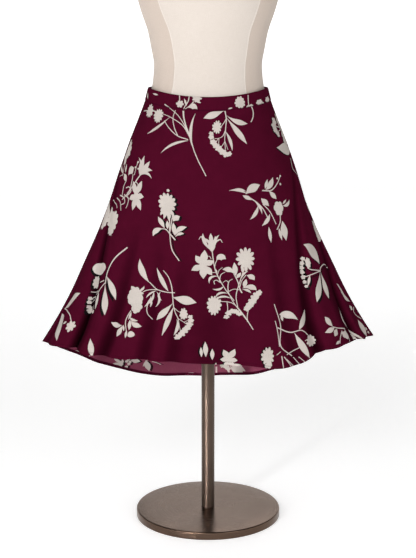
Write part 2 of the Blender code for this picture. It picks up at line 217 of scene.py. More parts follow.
CAMERA_PLACE = (0.0, -2.6175, 1.0208)
CAMERA_DIP = 11.2167
CAMERA_LENS = 84.7

camera_data = bpy.data.cameras.new("studio_camera")
camera_data.sensor_width = 36.0
camera_data.lens = CAMERA_LENS
camera = bpy.data.objects.new("studio_camera", camera_data)
camera.location = CAMERA_PLACE
camera.rotation_euler = (math.radians(90 - CAMERA_DIP), 0.0, 0.0)
bpy.context.scene.collection.objects.link(camera)
bpy.context.scene.camera = camera


# ---- The base disc ---------------------------------------------------------------------
# A heavy round steel disc with a bronze finish, faced and edged on a lathe and then
# brushed round, so that fine rings run about its middle. It stands flat on the floor.

BASE_RADIUS = 0.150
BASE_THICKNESS = 0.016
BASE_EDGE = 0.003
BASE_FOOT = 0.0012


def quarter_round(centre_radius, centre_height, size, start, end, count=9):
    """Points of an arc of one size about (radius, height), between two angles in degrees."""
    angle = np.radians(np.linspace(start, end, count))
    radius = centre_radius + size * np.cos(angle)
    height = centre_height + size * np.sin(angle)
    return np.stack([radius, height], axis=-1)


def brushed(name, colour, dark, ring_scale, roughness, around):
    """Brushed metal: fine rings by the distance from the axis, or lines by the angle about it,
    which spread the light along the axis."""
    finish, tree, shader = principled(name, metallic=1.0, roughness=roughness,
                                      Specular_Tint=(0.89, 0.855, 0.83, 1),
                                      Anisotropic=0.0 if around else 0.70,
                                      Anisotropic_Rotation=0.0 if around else 0.25,
                                      Coat_Weight=0.12 if around else 0.20, Coat_Roughness=0.32)
    place = own_place(tree)
    parts = node(tree, "SeparateXYZ", {"Vector": place}).node.outputs
    if around:
        across = maths(tree, "MULTIPLY", parts["X"], parts["X"])
        square = maths(tree, "MULTIPLY_ADD", parts["Y"], parts["Y"], across)
        along = maths(tree, "POWER", square, 0.5)
    else:
        along = maths(tree, "ARCTAN2", parts["Y"], parts["X"])
    rings = node(tree, "TexNoise", {"W": along, "Scale": ring_scale, "Detail": 4.0},
                 noise_dimensions="1D")
    patches = noise(tree, place, 14.0, 3.0)
    marks = maths(tree, "MULTIPLY_ADD", rings, 0.75, patches)
    tint = mixed(tree, ranged(tree, marks, 0.55, 1.2), dark, colour)
    gloss = ranged(tree, marks, 0.5, 1.25, roughness + 0.09, roughness - 0.07)
    grain = bumped(tree, rings, 0.12, 0.0004)
    wire(shader, Base_Color=tint, Roughness=gloss, Normal=grain)
    return finish


bronze = brushed("bronze_steel", (0.112, 0.0705, 0.0490), (0.084, 0.0525, 0.0370), 900, 0.25, True)

base_profile = np.concatenate([
    [[0.010, BASE_THICKNESS], [0.060, BASE_THICKNESS], [0.110, BASE_THICKNESS]],
    quarter_round(BASE_RADIUS - BASE_EDGE, BASE_THICKNESS - BASE_EDGE, BASE_EDGE, 90, 0),
    quarter_round(BASE_RADIUS - BASE_FOOT, BASE_FOOT, BASE_FOOT, 0, -90, 5),
    [[0.020, 0.0]],
])
base_disc = turned("base_disc_turned", base_profile, 192, bronze, sharp=50)
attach(base_disc, "root")
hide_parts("base_disc")


# ---- The pole --------------------------------------------------------------------------
# A drawn steel tube with the same bronze finish, brushed along its length. It stands in
# the middle of the disc, and its top runs up into the form's socket.

POLE_RADIUS = 0.0135
POLE_EDGE = 0.001
POLE_RINGS = 24
pole_foot, pole_top = (float(corner[2]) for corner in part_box("pole"))

pole_bronze = brushed("pole_bronze", (0.106, 0.074, 0.057), (0.078, 0.053, 0.040), 40, 0.46, False)
pole_heights = np.linspace(pole_top - POLE_EDGE, pole_foot + POLE_EDGE, POLE_RINGS)
pole_profile = np.concatenate([
    [[POLE_RADIUS - POLE_EDGE, pole_top]],
    np.stack([np.full(POLE_RINGS, POLE_RADIUS), pole_heights], axis=-1),
    [[POLE_RADIUS, pole_foot]],
])
pole = turned("pole_turned", pole_profile, 96, pole_bronze)
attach(pole, "root")
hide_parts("pole")


# ---- The pole socket -------------------------------------------------------------------
# A short steel tube with a round flange, cast in one and painted grey. The flange lies
# against the form's bottom board from below, and the pole runs up into the tube.

SOCKET_RADIUS = 0.020
SOCKET_BORE = POLE_RADIUS + 0.0004
SOCKET_FLANGE_RADIUS = 0.045
SOCKET_FLANGE_THICKNESS = 0.005
SOCKET_EDGE = 0.001
SOCKET_FILLET = 0.004
socket_foot, socket_top = (float(corner[2]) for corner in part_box("pole_socket"))

cast_grey = brushed("socket_steel", (0.20, 0.19, 0.185), (0.12, 0.115, 0.11), 60, 0.48, False)
flange_foot = socket_top - SOCKET_FLANGE_THICKNESS
socket_profile = np.concatenate([
    [[SOCKET_BORE, socket_top]],
    quarter_round(SOCKET_FLANGE_RADIUS - SOCKET_EDGE, socket_top - SOCKET_EDGE, SOCKET_EDGE, 90, 0, 5),
    quarter_round(SOCKET_FLANGE_RADIUS - SOCKET_EDGE, flange_foot + SOCKET_EDGE, SOCKET_EDGE, 0, -90, 5),
    quarter_round(SOCKET_RADIUS + SOCKET_FILLET, flange_foot - SOCKET_FILLET, SOCKET_FILLET, 90, 180, 7),
    quarter_round(SOCKET_RADIUS - SOCKET_EDGE, socket_foot + SOCKET_EDGE, SOCKET_EDGE, 0, -90, 5),
    [[SOCKET_BORE, socket_foot]],
])
socket = turned("pole_socket_turned", socket_profile, 96, cast_grey)
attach(socket, "root")
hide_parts("pole_socket")


# ---- The form's bottom board -----------------------------------------------------------
# A board of pale plywood cut to the form's outline, with a rounded edge. It closes the
# form from below and carries the socket.

FORM_LEVELS = (
    # height, half width, front depth, back depth
    (0.575, 0.1500, 0.1000, 0.1060),
    (0.583, 0.1570, 0.1050, 0.1130),
    (0.600, 0.1620, 0.1090, 0.1190),
    (0.640, 0.1670, 0.1130, 0.1290),
    (0.690, 0.1680, 0.1140, 0.1350),
    (0.736, 0.1640, 0.1120, 0.1340),
    (0.783, 0.1520, 0.1080, 0.1260),
    (0.828, 0.1352, 0.1028, 0.1125),
    (0.861, 0.1205, 0.0939, 0.0990),
    (0.888, 0.1105, 0.0852, 0.0885),
    (0.912, 0.1070, 0.0825, 0.0830),
    (0.934, 0.1060, 0.0815, 0.0810),
    (0.964, 0.1110, 0.0840, 0.0825),
    (0.999, 0.1180, 0.0900, 0.0860),
    (1.034, 0.1300, 0.1000, 0.0905),
    (1.066, 0.1390, 0.1110, 0.0940),
    (1.100, 0.1475, 0.1200, 0.0975),
    (1.140, 0.1550, 0.1225, 0.1010),
    (1.180, 0.1600, 0.1140, 0.1040),
    (1.210, 0.1660, 0.1010, 0.1050),
    (1.235, 0.1695, 0.0880, 0.1030),
    (1.252, 0.1680, 0.0790, 0.0990),
    (1.265, 0.1590, 0.0730, 0.0940),
    (1.277, 0.1410, 0.0690, 0.0880),
    (1.289, 0.1160, 0.0655, 0.0810),
    (1.301, 0.0910, 0.0620, 0.0730),
    (1.314, 0.0710, 0.0585, 0.0650),
    (1.330, 0.0590, 0.0555, 0.0580),
    (1.350, 0.0550, 0.0530, 0.0550),
    (1.372, 0.0540, 0.0520, 0.0540),
    (1.379, 0.0500, 0.0480, 0.0500),
)
PLATE_INSET = 0.004
PLATE_EDGE = 0.0015
PLATE_STEPS = 160


def smooth_rows(rows, column, places):
    """Read a column of a table between its rows, by a cubic whose slope at each row is the
    mean slope to its neighbours."""
    table = np.array(rows, dtype=float)
    x, y = table[:, 0], table[:, column]
    slope = np.gradient(y, x)
    places = np.clip(np.asarray(places, dtype=float), x[0], x[-1])
    i = np.clip(np.searchsorted(x, places) - 1, 0, len(x) - 2)
    span = x[i + 1] - x[i]
    t = (places - x[i]) / span
    return (
        y[i] * (2 * t**3 - 3 * t**2 + 1)
        + slope[i] * span * (t**3 - 2 * t**2 + t)
        + y[i + 1] * (3 * t**2 - 2 * t**3)
        + slope[i + 1] * span * (t**3 - t**2)
    )


def oval_point(levels, level, turn, height, out):
    """A point of an oval with the half width across and the front or back depth along, as a
    table of levels gives them, moved out square to the oval."""
    width, front, back = (smooth_rows(levels, column, level) for column in (1, 2, 3))
    depth = np.where(np.cos(turn) > 0, front, back)
    across, along = np.sin(turn) / width, -np.cos(turn) / depth
    length = np.hypot(across, along)
    x = width * np.sin(turn) + out * across / length
    y = -depth * np.cos(turn) + out * along / length
    return np.stack([x, y, height + 0 * x], axis=-1)


def form_point(turn, height, out):
    """A point of the form, by the turn in radians from its front."""
    return oval_point(FORM_LEVELS, height, turn, height, out)


plywood, plywood_tree, plywood_shader = principled("plywood_board", roughness=0.62)
plywood_long = node(plywood_tree, "Mapping", {"Vector": own_place(plywood_tree),
                                              "Scale": (5.0, 60.0, 900.0)})
plywood_grain = noise(plywood_tree, plywood_long, 1.0, 6.0, Distortion=0.6)
plywood_tone = ramped(plywood_tree, plywood_grain, 0.30, (0.36, 0.235, 0.13),
                      0.68, (0.60, 0.44, 0.28))
plywood_pores = bumped(plywood_tree, plywood_grain, 0.25, 0.0005)
wire(plywood_shader, Base_Color=plywood_tone, Normal=plywood_pores)

plate_foot, plate_top = (float(corner[2]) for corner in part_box("form_plate"))
plate_turn = np.linspace(0, 2 * np.pi, PLATE_STEPS, endpoint=False)[None, :]
plate_edge = np.concatenate([
    quarter_round(-PLATE_EDGE, plate_top - PLATE_EDGE, PLATE_EDGE, 90, 0, 5),
    quarter_round(-PLATE_EDGE, plate_foot + PLATE_EDGE, PLATE_EDGE, 0, -90, 5),
])
plate_out = -PLATE_INSET + plate_edge[:, :1]
plate_points = form_point(plate_turn, FORM_LEVELS[0][0] + 0 * plate_out, plate_out)
plate_points[..., 2] = plate_edge[:, 1:]
board = shaped("form_board", plate_points, tube_faces(len(plate_edge), PLATE_STEPS), plywood)
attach(board, "root")
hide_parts("form_plate")


# ---- The dress form --------------------------------------------------------------------
# A moulded torso without limbs, covered in cream linen. The cover is cut in seven upright
# panels; their seams run over bust and hips, and oval end covers are sewn in at the arms.

FRONT_SEAM_LEFT = ((0.575, -44.0), (0.700, -42.0), (0.888, -38.0), (0.940, -36.8), (0.985, -38.0),
                   (1.040, -43.0), (1.140, -49.0), (1.210, -58.0), (1.250, -72.0), (1.280, -86.0),
                   (1.379, -86.0))
FRONT_SEAM_RIGHT = ((0.575, 46.0), (0.700, 44.0), (0.888, 41.0), (0.940, 42.6), (0.985, 43.0),
                    (1.040, 46.2), (1.140, 51.0), (1.210, 60.0), (1.250, 73.0), (1.280, 86.0),
                    (1.379, 86.0))
BACK_SEAM = ((0.575, 42.0), (0.700, 40.0), (0.888, 36.0), (0.980, 38.0), (1.100, 46.0),
             (1.180, 56.0), (1.240, 72.0), (1.280, 86.0), (1.379, 86.0))
SEAM_RIDGE = 0.0004
SEAM_HALF_WIDTH = 0.0011
ARM_COVER = (0.004, 1.193, 0.050, 0.064)  # middle along and up, half width, half height
ARM_SIDE = 0.55
FAR_FROM_SEAM = 0.02
FORM_UV_RADIUS = 0.14
TURN_STEP = 0.01

form_heights = np.concatenate([
    np.linspace(0.575, 0.600, 12)[:-1],
    np.linspace(0.600, 1.200, 110)[:-1],
    np.linspace(1.200, 1.372, 66)[:-1],
    np.linspace(1.372, 1.379, 6),
])[::-1]
back_seam = smooth_rows(BACK_SEAM, 1, form_heights)
level_line = np.ones(len(form_heights))
seam_turns = np.radians(np.stack([
    -180 * level_line,
    back_seam - 180,
    -90 * level_line,
    smooth_rows(FRONT_SEAM_LEFT, 1, form_heights),
    smooth_rows(FRONT_SEAM_RIGHT, 1, form_heights),
    90 * level_line,
    180 - back_seam,
    180 * level_line,
], axis=-1))
panel_steps = np.concatenate([
    [0.0, 0.006, 0.013, 0.022, 0.040],
    np.linspace(0.07, 0.93, 30),
    [0.960, 0.978, 0.987, 0.994],
])
panel_start = seam_turns[:, :-1, None]
panel_width = seam_turns[:, 1:, None] - panel_start
form_turn = (panel_start + panel_width * panel_steps).reshape(len(form_heights), -1)
form_level = form_heights[:, None] + 0 * form_turn
form_skin = form_point(form_turn, form_level, 0.0)
form_ahead = form_point(form_turn + TURN_STEP, form_level, 0.0)
step_along = np.linalg.norm(form_ahead - form_skin, axis=-1) / TURN_STEP
seam_gap = np.abs(form_turn[:, :, None] - seam_turns[:, None, :]).min(axis=-1) * step_along
arm_round = np.hypot((form_skin[..., 1] - ARM_COVER[0]) / ARM_COVER[2],
                     (form_skin[..., 2] - ARM_COVER[1]) / ARM_COVER[3])
arm_gap = np.clip((arm_round - 1) * ARM_COVER[2], -FAR_FROM_SEAM, FAR_FROM_SEAM)
arm_gap = np.where(np.abs(np.sin(form_turn)) > ARM_SIDE, arm_gap, FAR_FROM_SEAM)
seam_gap = np.where(arm_gap < 0, FAR_FROM_SEAM, seam_gap)
# The four side panels, which the linen darkens as painted shade on the torso's sides.
side_panels = np.isin(np.arange(form_turn.shape[1]) // len(panel_steps), (1, 2, 4, 5))
side_panels = side_panels + 0.0 * form_level
form_skin = form_point(
    form_turn, form_level, SEAM_RIDGE * np.exp(-(seam_gap / SEAM_HALF_WIDTH) ** 2)
)


def give(mesh, name, domain, values):
    """Store one number per point or face under a name, for the materials to read."""
    layer = mesh.attributes.new(name, "FLOAT", domain)
    layer.data.foreach_set("value", np.asarray(values, dtype=np.float32).ravel())


def give_uv(mesh, points):
    """Store a flat place (u, v) in metres for every point, as the piece's UV map."""
    corner = np.empty(len(mesh.loops), dtype=np.int32)
    mesh.loops.foreach_get("vertex_index", corner)
    layer = mesh.uv_layers.new(name="cloth")
    layer.data.foreach_set("uv", np.asarray(points, dtype=np.float32)[corner].ravel())


def thread_marks(tree, place, pitch, slub):
    """A plain weave: one wave across times one wave along, each thread a little thick and thin."""
    parts = node(tree, "SeparateXYZ", {"Vector": place}).node.outputs
    wave = []
    for axis in ("X", "Y"):
        turn = maths(tree, "MULTIPLY", parts[axis], 2 * math.pi / pitch)
        wave.append(maths(tree, "SINE", turn))
    weave = maths(tree, "MULTIPLY", *wave)
    thick = []
    for stretch in ((60.0, 1600.0, 1.0), (1600.0, 60.0, 1.0)):
        along = node(tree, "Mapping", {"Vector": place, "Scale": stretch})
        thick.append(noise(tree, along, 1.0))
    return maths(tree, "MULTIPLY_ADD", maths(tree, "ADD", *thick), slub, weave)


def stored(tree, name):
    """The number that give() stored under a name."""
    return node(tree, "Attribute", attribute_name=name).node.outputs["Fac"]


def line_of(tree, name, width, middle=0.0):
    """A soft line where a stored distance equals middle: 1 on it, fading within the width."""
    away = maths(tree, "SUBTRACT", stored(tree, name), middle)
    return ranged(tree, maths(tree, "ABSOLUTE", away), 0.0, width, 1.0, 0.0,
                  interpolation_type="SMOOTHSTEP")


linen, linen_tree, linen_shader = principled(
    "form_linen", roughness=0.86, Sheen_Weight=0.25, Sheen_Roughness=0.55,
    Sheen_Tint=(1.0, 0.96, 0.90, 1), Specular_IOR_Level=0.25,
)
linen_place = node(linen_tree, "UVMap", uv_map="cloth")
linen_threads = thread_marks(linen_tree, linen_place, 0.0011, 1.6)
linen_tone = ranged(linen_tree, linen_threads, 0.3, 2.9)
linen_cloud = noise(linen_tree, own_place(linen_tree), 9.0, 4.0)
linen_light = mixed(linen_tree, linen_tone, (0.488, 0.430, 0.381), (0.622, 0.564, 0.521))
linen_aged = mixed(linen_tree, linen_cloud, (0.93, 0.925, 0.91), (1.0, 1.0, 1.0))
linen_mix = mixed(linen_tree, 1.0, linen_light, linen_aged, "MULTIPLY")
# Painted shade: the four side panels are darkened, with a step at their seams, so the torso is darker at
# its sides.
linen_side = stored(linen_tree, "side_panel")
linen_side_shade = mixed(linen_tree, linen_side, linen_mix, (0.88, 0.825, 0.79), "MULTIPLY")
linen_seam = line_of(linen_tree, "seam_gap", 0.0016)
linen_arm = line_of(linen_tree, "arm_gap", 0.0018)
linen_lines = maths(linen_tree, "MAXIMUM", linen_seam, linen_arm)
linen_seam_highlight = maths(linen_tree, "MULTIPLY", linen_lines, 0.55)
# Painted highlight: paler lines along the seams and round the arm covers, where the raised seams catch
# the light.
linen_colour = mixed(linen_tree, linen_seam_highlight, linen_side_shade, (0.70, 0.65, 0.61))
linen_bump = bumped(linen_tree, linen_threads, 0.35, 0.0002)
linen_ridge = bumped(linen_tree, linen_lines, 0.7, 0.0006, Normal=linen_bump)
wire(linen_shader, Base_Color=linen_colour, Normal=linen_ridge)

form_faces = tube_faces(*form_turn.shape)
torso = shaped("form_torso_linen", form_skin, form_faces, linen, sharp=55)
give(torso.data, "seam_gap", "POINT", seam_gap)
give(torso.data, "arm_gap", "POINT", arm_gap)
give(torso.data, "side_panel", "POINT", side_panels)
give_uv(torso.data, np.stack([form_turn * FORM_UV_RADIUS, form_level], axis=-1).reshape(-1, 2))
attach(torso, "root")
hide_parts("form_torso")


# ---- The skirt: how the cloth hangs ----------------------------------------------------
# A flared skirt of light printed crepe: one front panel and two back panels, cut as parts
# of a ring so that the cloth falls from the waist in soft folds, lower at the back.

WAIST_HEIGHT = 0.888
FRONT_WAIST_DIP = 0.014
BAND_HEIGHT = 0.025
SEAM_GAP = 0.00003
SKIRT_LEVELS = (
    # drop below the waist, half width, front depth, back depth
    (0.000, 0.1180, 0.0880, 0.0940),
    (0.027, 0.1252, 0.0960, 0.1040),
    (0.060, 0.1377, 0.1050, 0.1170),
    (0.105, 0.1558, 0.1130, 0.1320),
    (0.152, 0.1728, 0.1190, 0.1420),
    (0.217, 0.1940, 0.1260, 0.1490),
    (0.282, 0.2193, 0.1290, 0.1510),
    (0.347, 0.2480, 0.1320, 0.1520),
    (0.414, 0.2780, 0.1350, 0.1520),
    (0.480, 0.3140, 0.1390, 0.1520),
    (0.514, 0.3350, 0.1410, 0.1520),
    (0.640, 0.4050, 0.1500, 0.1540),
)
HEM_HEIGHTS = (
    # angle from the front centre, height of the hem
    (-180, 0.2540), (-168, 0.2590), (-158, 0.2640), (-149, 0.2790), (-138, 0.3030),
    (-126, 0.3260), (-112, 0.3485), (-90, 0.3710), (-72, 0.3760), (-58, 0.3765),
    (-44, 0.3690), (-20, 0.3655), (0, 0.3600), (14, 0.3560), (22, 0.3490), (31, 0.3535),
    (41, 0.3735), (52, 0.3825), (70, 0.3865), (90, 0.3840), (106, 0.3720), (122, 0.3480),
    (140, 0.3180), (152, 0.2880), (164, 0.2640), (180, 0.2540),
)
FOLDS = (
    # middle angle at the hem, drift up to the waist, half angle, rise, where it starts
    (-93, 0, 8.0, 0.004, 0.40), (-79, -6, 5.0, -0.003, 0.35), (-67, -44, 6.5, 0.008, 0.22),
    (-54.6, -60, 1.6, -0.014, 0.15), (-52.5, -60, 4.0, -0.007, 0.12), (-46, -30, 4.0, 0.006, 0.36),
    (-38.5, -4, 3.0, -0.011, 0.46), (-30.5, -8, 3.8, 0.006, 0.42), (-22, -8, 2.8, -0.007, 0.52),
    (-17, -4, 2.8, 0.004, 0.50), (-12, 2, 2.8, -0.006, 0.50), (2, 0, 7.0, -0.003, 0.50),
    (20, 8, 7.5, 0.005, 0.42), (30, 14, 3.0, -0.006, 0.40), (41.5, 60, 3.0, -0.012, 0.12),
    (50, 45, 4.6, 0.007, 0.28), (68.5, 66, 2.0, -0.012, 0.16), (65.5, 64, 4.4, -0.007, 0.14),
    (72, 30, 4.6, 0.005, 0.30), (80, 12, 4.0, -0.003, 0.46), (90, 0, 8.0, 0.011, 0.50),
    (108, -12, 6.0, -0.012, 0.28), (122, -16, 7.0, 0.008, 0.24), (129, -20, 3.0, -0.009, 0.34),
    (137, -14, 4.6, -0.012, 0.30), (149, -8, 7.0, 0.007, 0.42), (156, -4, 3.0, -0.007, 0.46),
    (165, -6, 4.5, -0.008, 0.38), (178, 0, 8.0, 0.005, 0.34), (-166, 6, 4.8, -0.011, 0.30),
    (-152, 10, 7.0, 0.007, 0.36), (-139, 16, 4.4, -0.015, 0.26), (-131, 12, 2.8, 0.005, 0.40),
    (-122, 14, 6.0, 0.009, 0.30), (-110, 18, 4.2, -0.015, 0.28),
)


def waist_height(angle):
    """Height of the waistband's top edge: it dips by the square of the cosine at the front."""
    return WAIST_HEIGHT - FRONT_WAIST_DIP * np.clip(np.cos(np.radians(angle)), 0, 1) ** 2


def fold_rise(angle, down):
    """How far the folds move the cloth out: a bell across each fold, growing downwards."""
    rise = np.zeros(np.broadcast(angle, down).shape)
    for middle, drift, half_angle, depth, start in FOLDS:
        away = (angle - middle - drift * (1 - down) ** 2 + 180) % 360 - 180
        growth = np.clip((down - start) / (1 - start), 0, 1) ** 1.25
        rise = rise + depth * growth * np.exp(-((away / half_angle) ** 2))
    return rise


def plan_point(angle, height, out):
    """A point of the skirt's plan, by the angle in degrees from its front."""
    return oval_point(SKIRT_LEVELS, WAIST_HEIGHT - height, np.radians(angle), height, out)


def skirt_point(angle, down, out):
    """A point of the skirt panels: down runs from 0 at the waist seam to 1 at the hem."""
    top = waist_height(angle) - BAND_HEIGHT - SEAM_GAP
    height = top + (smooth_rows(HEM_HEIGHTS, 1, angle) - top) * down
    return plan_point(angle, height, out + fold_rise(angle, down))


# ---- The skirt: how the panels were cut ------------------------------------------------
# Each panel lies flat as part of a ring with the waist seam as its inner edge. A flat place
# (x, y) in metres has x to the wearer's left and y up, from the middle of the waist seam.

FLAT_WAIST_RADIUS = 0.386
FLAT_SPREAD = math.radians(24.9) / 90
WALK_ANGLES = np.arange(-180, 181)
WALK_DOWNS = np.linspace(0, 1, 121)
walk = skirt_point(WALK_ANGLES[:, None], WALK_DOWNS[None, :], 0.0)
walk_steps = np.linalg.norm(np.diff(walk, axis=1), axis=-1)
WALK = np.concatenate([np.zeros((361, 1)), np.cumsum(walk_steps, axis=1)], axis=1)


def walk_at(angle, down):
    """Length of cloth from the waist seam, read between the four nearest steps of the walk."""
    i = np.clip(np.floor(angle).astype(int) + 180, 0, 359)
    j = np.clip(np.floor(down * 120).astype(int), 0, 119)
    s, t = angle + 180 - i, down * 120 - j
    upper = WALK[i, j] * (1 - t) + WALK[i, j + 1] * t
    return upper * (1 - s) + (WALK[i + 1, j] * (1 - t) + WALK[i + 1, j + 1] * t) * s


def down_at(angle, length):
    """How far down a length of cloth reaches: the walk read backwards beside the angle."""
    i = np.clip(np.floor(angle).astype(int) + 180, 0, 359)
    keys = (np.arange(361)[:, None] * 2.0 + WALK).ravel()
    downs = np.tile(WALK_DOWNS, 361)
    found = []
    for column in (i, i + 1):
        reach = np.clip(length, 0, WALK[column, -1])
        found.append(np.interp(column * 2.0 + reach, keys, downs))
    s = angle + 180 - i
    return found[0] * (1 - s) + found[1] * s


def lay_panel(angle, down, middle):
    """Flat place of a spot on a panel: the swing about the ring's centre, and the walk."""
    swing = (angle - middle) * FLAT_SPREAD
    radius = FLAT_WAIST_RADIUS + walk_at(angle, down)
    return np.stack([radius * np.sin(swing), FLAT_WAIST_RADIUS - radius * np.cos(swing)], axis=-1)


def wear_panel(flat, middle):
    """Angle and way down of a flat place on a panel, and whether it lies on the cloth."""
    below = FLAT_WAIST_RADIUS - flat[..., 1]
    angle = middle + np.arctan2(flat[..., 0], below) / FLAT_SPREAD
    length = np.hypot(flat[..., 0], below) - FLAT_WAIST_RADIUS
    near = np.clip(angle, -180, 180)
    whole = walk_at(near, np.ones_like(near))
    return angle, down_at(near, length), (length > 0) & (length < whole)


# ---- The skirt: the printed flowers ----------------------------------------------------
# The print is cream flowers, leaves and grasses on burgundy, some with a black shadow. It
# is drawn in millimetres on the flat cloth, as plain outlines laid one over another.

GROUND, CREAM, SHADOW = 0, 1, 2


def smooth_line(places, count):
    """Points along a smooth line through some places, evenly spaced in its parameter."""
    rows = [(i, place[0], place[1]) for i, place in enumerate(places)]
    t = np.linspace(0, len(rows) - 1, count)
    return smooth_rows(rows, 1, t) + 1j * smooth_rows(rows, 2, t)


def band_of(line, half_width):
    """The outline of a line with a width: out along one side and back along the other."""
    along = np.gradient(line)
    side = 1j * along / np.maximum(np.abs(along), 1e-9)
    return np.concatenate([line + side * half_width, (line - side * half_width)[::-1]])


def stem(start, end, *places):
    """A stem through places given as x, y, x, y..., whose width runs evenly from start to end."""
    places = list(zip(places[::2], places[1::2]))
    count = 5 * len(places) + 3
    return [(CREAM, band_of(smooth_line(places, count), np.linspace(start, end, count) / 2))]


def leaf(x, y, tip_x, tip_y, width, bow=0.0, belly=0.5):
    """A leaf: its half width is a sine from foot to tip with its widest place at belly, and
    its middle line bows to the left by bow times its length."""
    t = np.linspace(0, 1, 15)
    foot, tip = complex(x, y), complex(tip_x, tip_y)
    line = foot + (tip - foot) * (t + 4j * bow * t * (1 - t))
    half = 0.5 * width * np.sin(np.pi * t ** (math.log(0.5) / math.log(belly))) ** 1.15
    return [(CREAM, band_of(line, half + 0.2))]


def frill(x, y, size, lobes, depth=0.2, squash=1.0, turn=0.0):
    """A scalloped round: the radius follows a cosine without its sign, one arch a lobe, and
    the round is squashed across its upright axis and then turned by some degrees."""
    a = np.linspace(0, 2 * np.pi, 8 * lobes, endpoint=False)
    radius = size * (1 - depth + depth * np.abs(np.cos(lobes * a / 2)) ** 0.85)
    uneven = 1 + 0.05 * np.sin(3 * a + lobes) + 0.04 * np.sin(2 * a + size)
    ring = radius * uneven * (np.cos(a) * squash + 1j * np.sin(a))
    return [(CREAM, complex(x, y) + ring * np.exp(1j * math.radians(turn)))]


def florets(*places):
    """A run of small five-lobed rounds, one at each (x, y, size)."""
    return [ring for x, y, size in places for ring in frill(x, y, size, 5, 0.3, turn=37 * x)]


def star(x, y, width, *tips):
    """A star flower: one leaf from the middle to each tip (x, y), over a small round."""
    petals = [petal for tip in tips for petal in leaf(x, y, *tip, width, belly=0.52)]
    return frill(x, y, 0.55 * width, 6, 0.1) + petals


def shaded(shapes, across, up):
    """The same shapes with a black shadow, moved a little, under them."""
    return [(SHADOW, outline + complex(across, up)) for _, outline in shapes] + shapes


def placed(shapes, across, up, turn):
    """The same shapes turned by some degrees, with their middle at a new place."""
    every = np.concatenate([outline for _, outline in shapes])
    middle = 0.5 * complex(every.real.min() + every.real.max(), every.imag.min() + every.imag.max())
    swing = np.exp(1j * math.radians(turn))
    return [(ink, (outline - middle) * swing + complex(across, up)) for ink, outline in shapes]


def arranged(*rows):
    """Sprays set out afresh: each row is a spray, its place and turn, and any shadow's shift."""
    laid = []
    for spray, across, up, turn, *shift in rows:
        shapes = placed(spray, across, up, turn)
        laid += shaded(shapes, *shift) if shift else shapes
    return laid


grass_spray = [
    *stem(1.4, 1.7, -3, -125, -15, -96, -22, -75, -26, -58),
    *stem(1.8, 1, -26, -58, -36, -32, -49, -10, -67, 6),
    *stem(1.7, 1.1, -27, -54, -40, -30, -60, -15, -83, -5), *leaf(-64, -13, -112, -45, 4.6, 0.05, 0.6),
    *stem(1.7, 1.3, -31, -56, -49, -49, -64, -35, -75, -20),
    *stem(1.6, 1.2, -48, -50, -55, -33, -58, -15, -54, 0),
    *stem(1.6, 2.7, -28, -49, -35, -30, -39, -13, -40, -1), *leaf(-24, -70, -20, -6, 4.1, 0.08, 0.45),
    *leaf(-31, -58, -78, -83, 4.3, -0.1, 0.45), *frill(-114, 1, 14.2, 10, 0.3, 0.74),
    *frill(-89, -10, 14.3, 12, 0.27, 0.77, -8), *stem(2, 2, -139, 5, -124, 3, -107, 1, -95, -2),
]
umbel_spray = [
    *stem(1.8, 1.4, 27, -1, 29, -16, 28, -31, 27, -43), *leaf(25, -1, -7, -15, 12.5, 0, 0.58),
    *leaf(30, -10, 66, -26, 9.6, -0.1, 0.62), *leaf(30, -15, 63, -65, 9.7, 0, 0.6),
    *stem(1.2, 1.1, 29, -16, 25, -24, 20, -32), *frill(14, -32, 13, 11, 0.32, 0.57),
    *stem(1.3, 1, 27, -39, 23, -49, 17, -53, 10, -54), *stem(1.3, 0.9, 27, -41, 26, -56, 27, -75),
    *stem(0.9, 0.8, 26, -58, 31, -75), *stem(1, 0.8, 26, -60, 20, -71),
    *stem(0.9, 0.8, 16, -54, 11, -62), *stem(0.9, 0.8, 17, -54, 16, -66),
    *florets((5, -44, 4), (5, -51, 4.7), (8, -60, 5.3), (12, -67, 5.8), (17, -73, 6), (22, -79, 6.2),
        (28, -84, 5.9), (33, -83, 4.6)),
    *leaf(28, -41, 38, -77, 4.6, 0.05),
]
lily_spray = [
    *leaf(-121, -127, -113, -88, 11.5, 0.05, 0.45), *leaf(-121, -127, -100, -99, 10, 0, 0.55),
    *leaf(-121, -127, -94, -117, 8.9, 0.2, 0.55), *leaf(-120, -126, -95, -132, 4.6, 0.28),
    *leaf(-121, -125, -128, -91, 6.3, -0.16, 0.45), *leaf(-155, -125, -139, -111, 16.9, 0.12, 0.6),
    *stem(2.4, 2.2, -121, -126, -136, -143, -151, -160, -168, -172),
    *stem(2, 2, -140, -123, -142, -136, -146, -152, -154, -161),
    *stem(1.7, 1.3, -136, -125, -133, -112, -129, -100),
    *florets((-129, -100, 2.4), (-135, -110, 2.2), (-127, -113, 2.1)),
    *star(-129, -165, 11.1, (-138, -137), (-116, -137), (-111, -168), (-116, -194), (-135, -194), (-146,
        -172)),
    *stem(1.7, 1.3, -132, -137, -126, -143, -124, -150), *leaf(-175, -120, -222, -84, 7.6),
    *leaf(-168, -118, -168, -100, 5.3), *leaf(-160, -136, -172, -119, 10.6),
    *stem(2.2, 2, -161, -135, -168, -146, -170, -164), *stem(1.7, 1.3, -178, -120, -197, -121),
    *stem(2.2, 2, -178, -162, -162, -169, -159, -179, -169, -182),
    *stem(2.4, 1.7, -190, -166, -174, -176, -167, -194),
    *stem(2.4, 1.7, -163, -162, -149, -170, -149, -181, -153, -190),
    *stem(2.4, 2, -153, -165, -143, -156, -149, -148, -159, -149),
    *stem(2, 1.5, -216, -166, -189, -179, -182, -188), *leaf(-237, -159, -226, -225, 23, 0.04, 0.55),
    *frill(-229, -209, 19.2, 8, 0.27, 0.72), *frill(-194, -217, 26.1, 12, 0.19, 0.81),
    *leaf(-215, -181, -187, -245, 27.6),
]
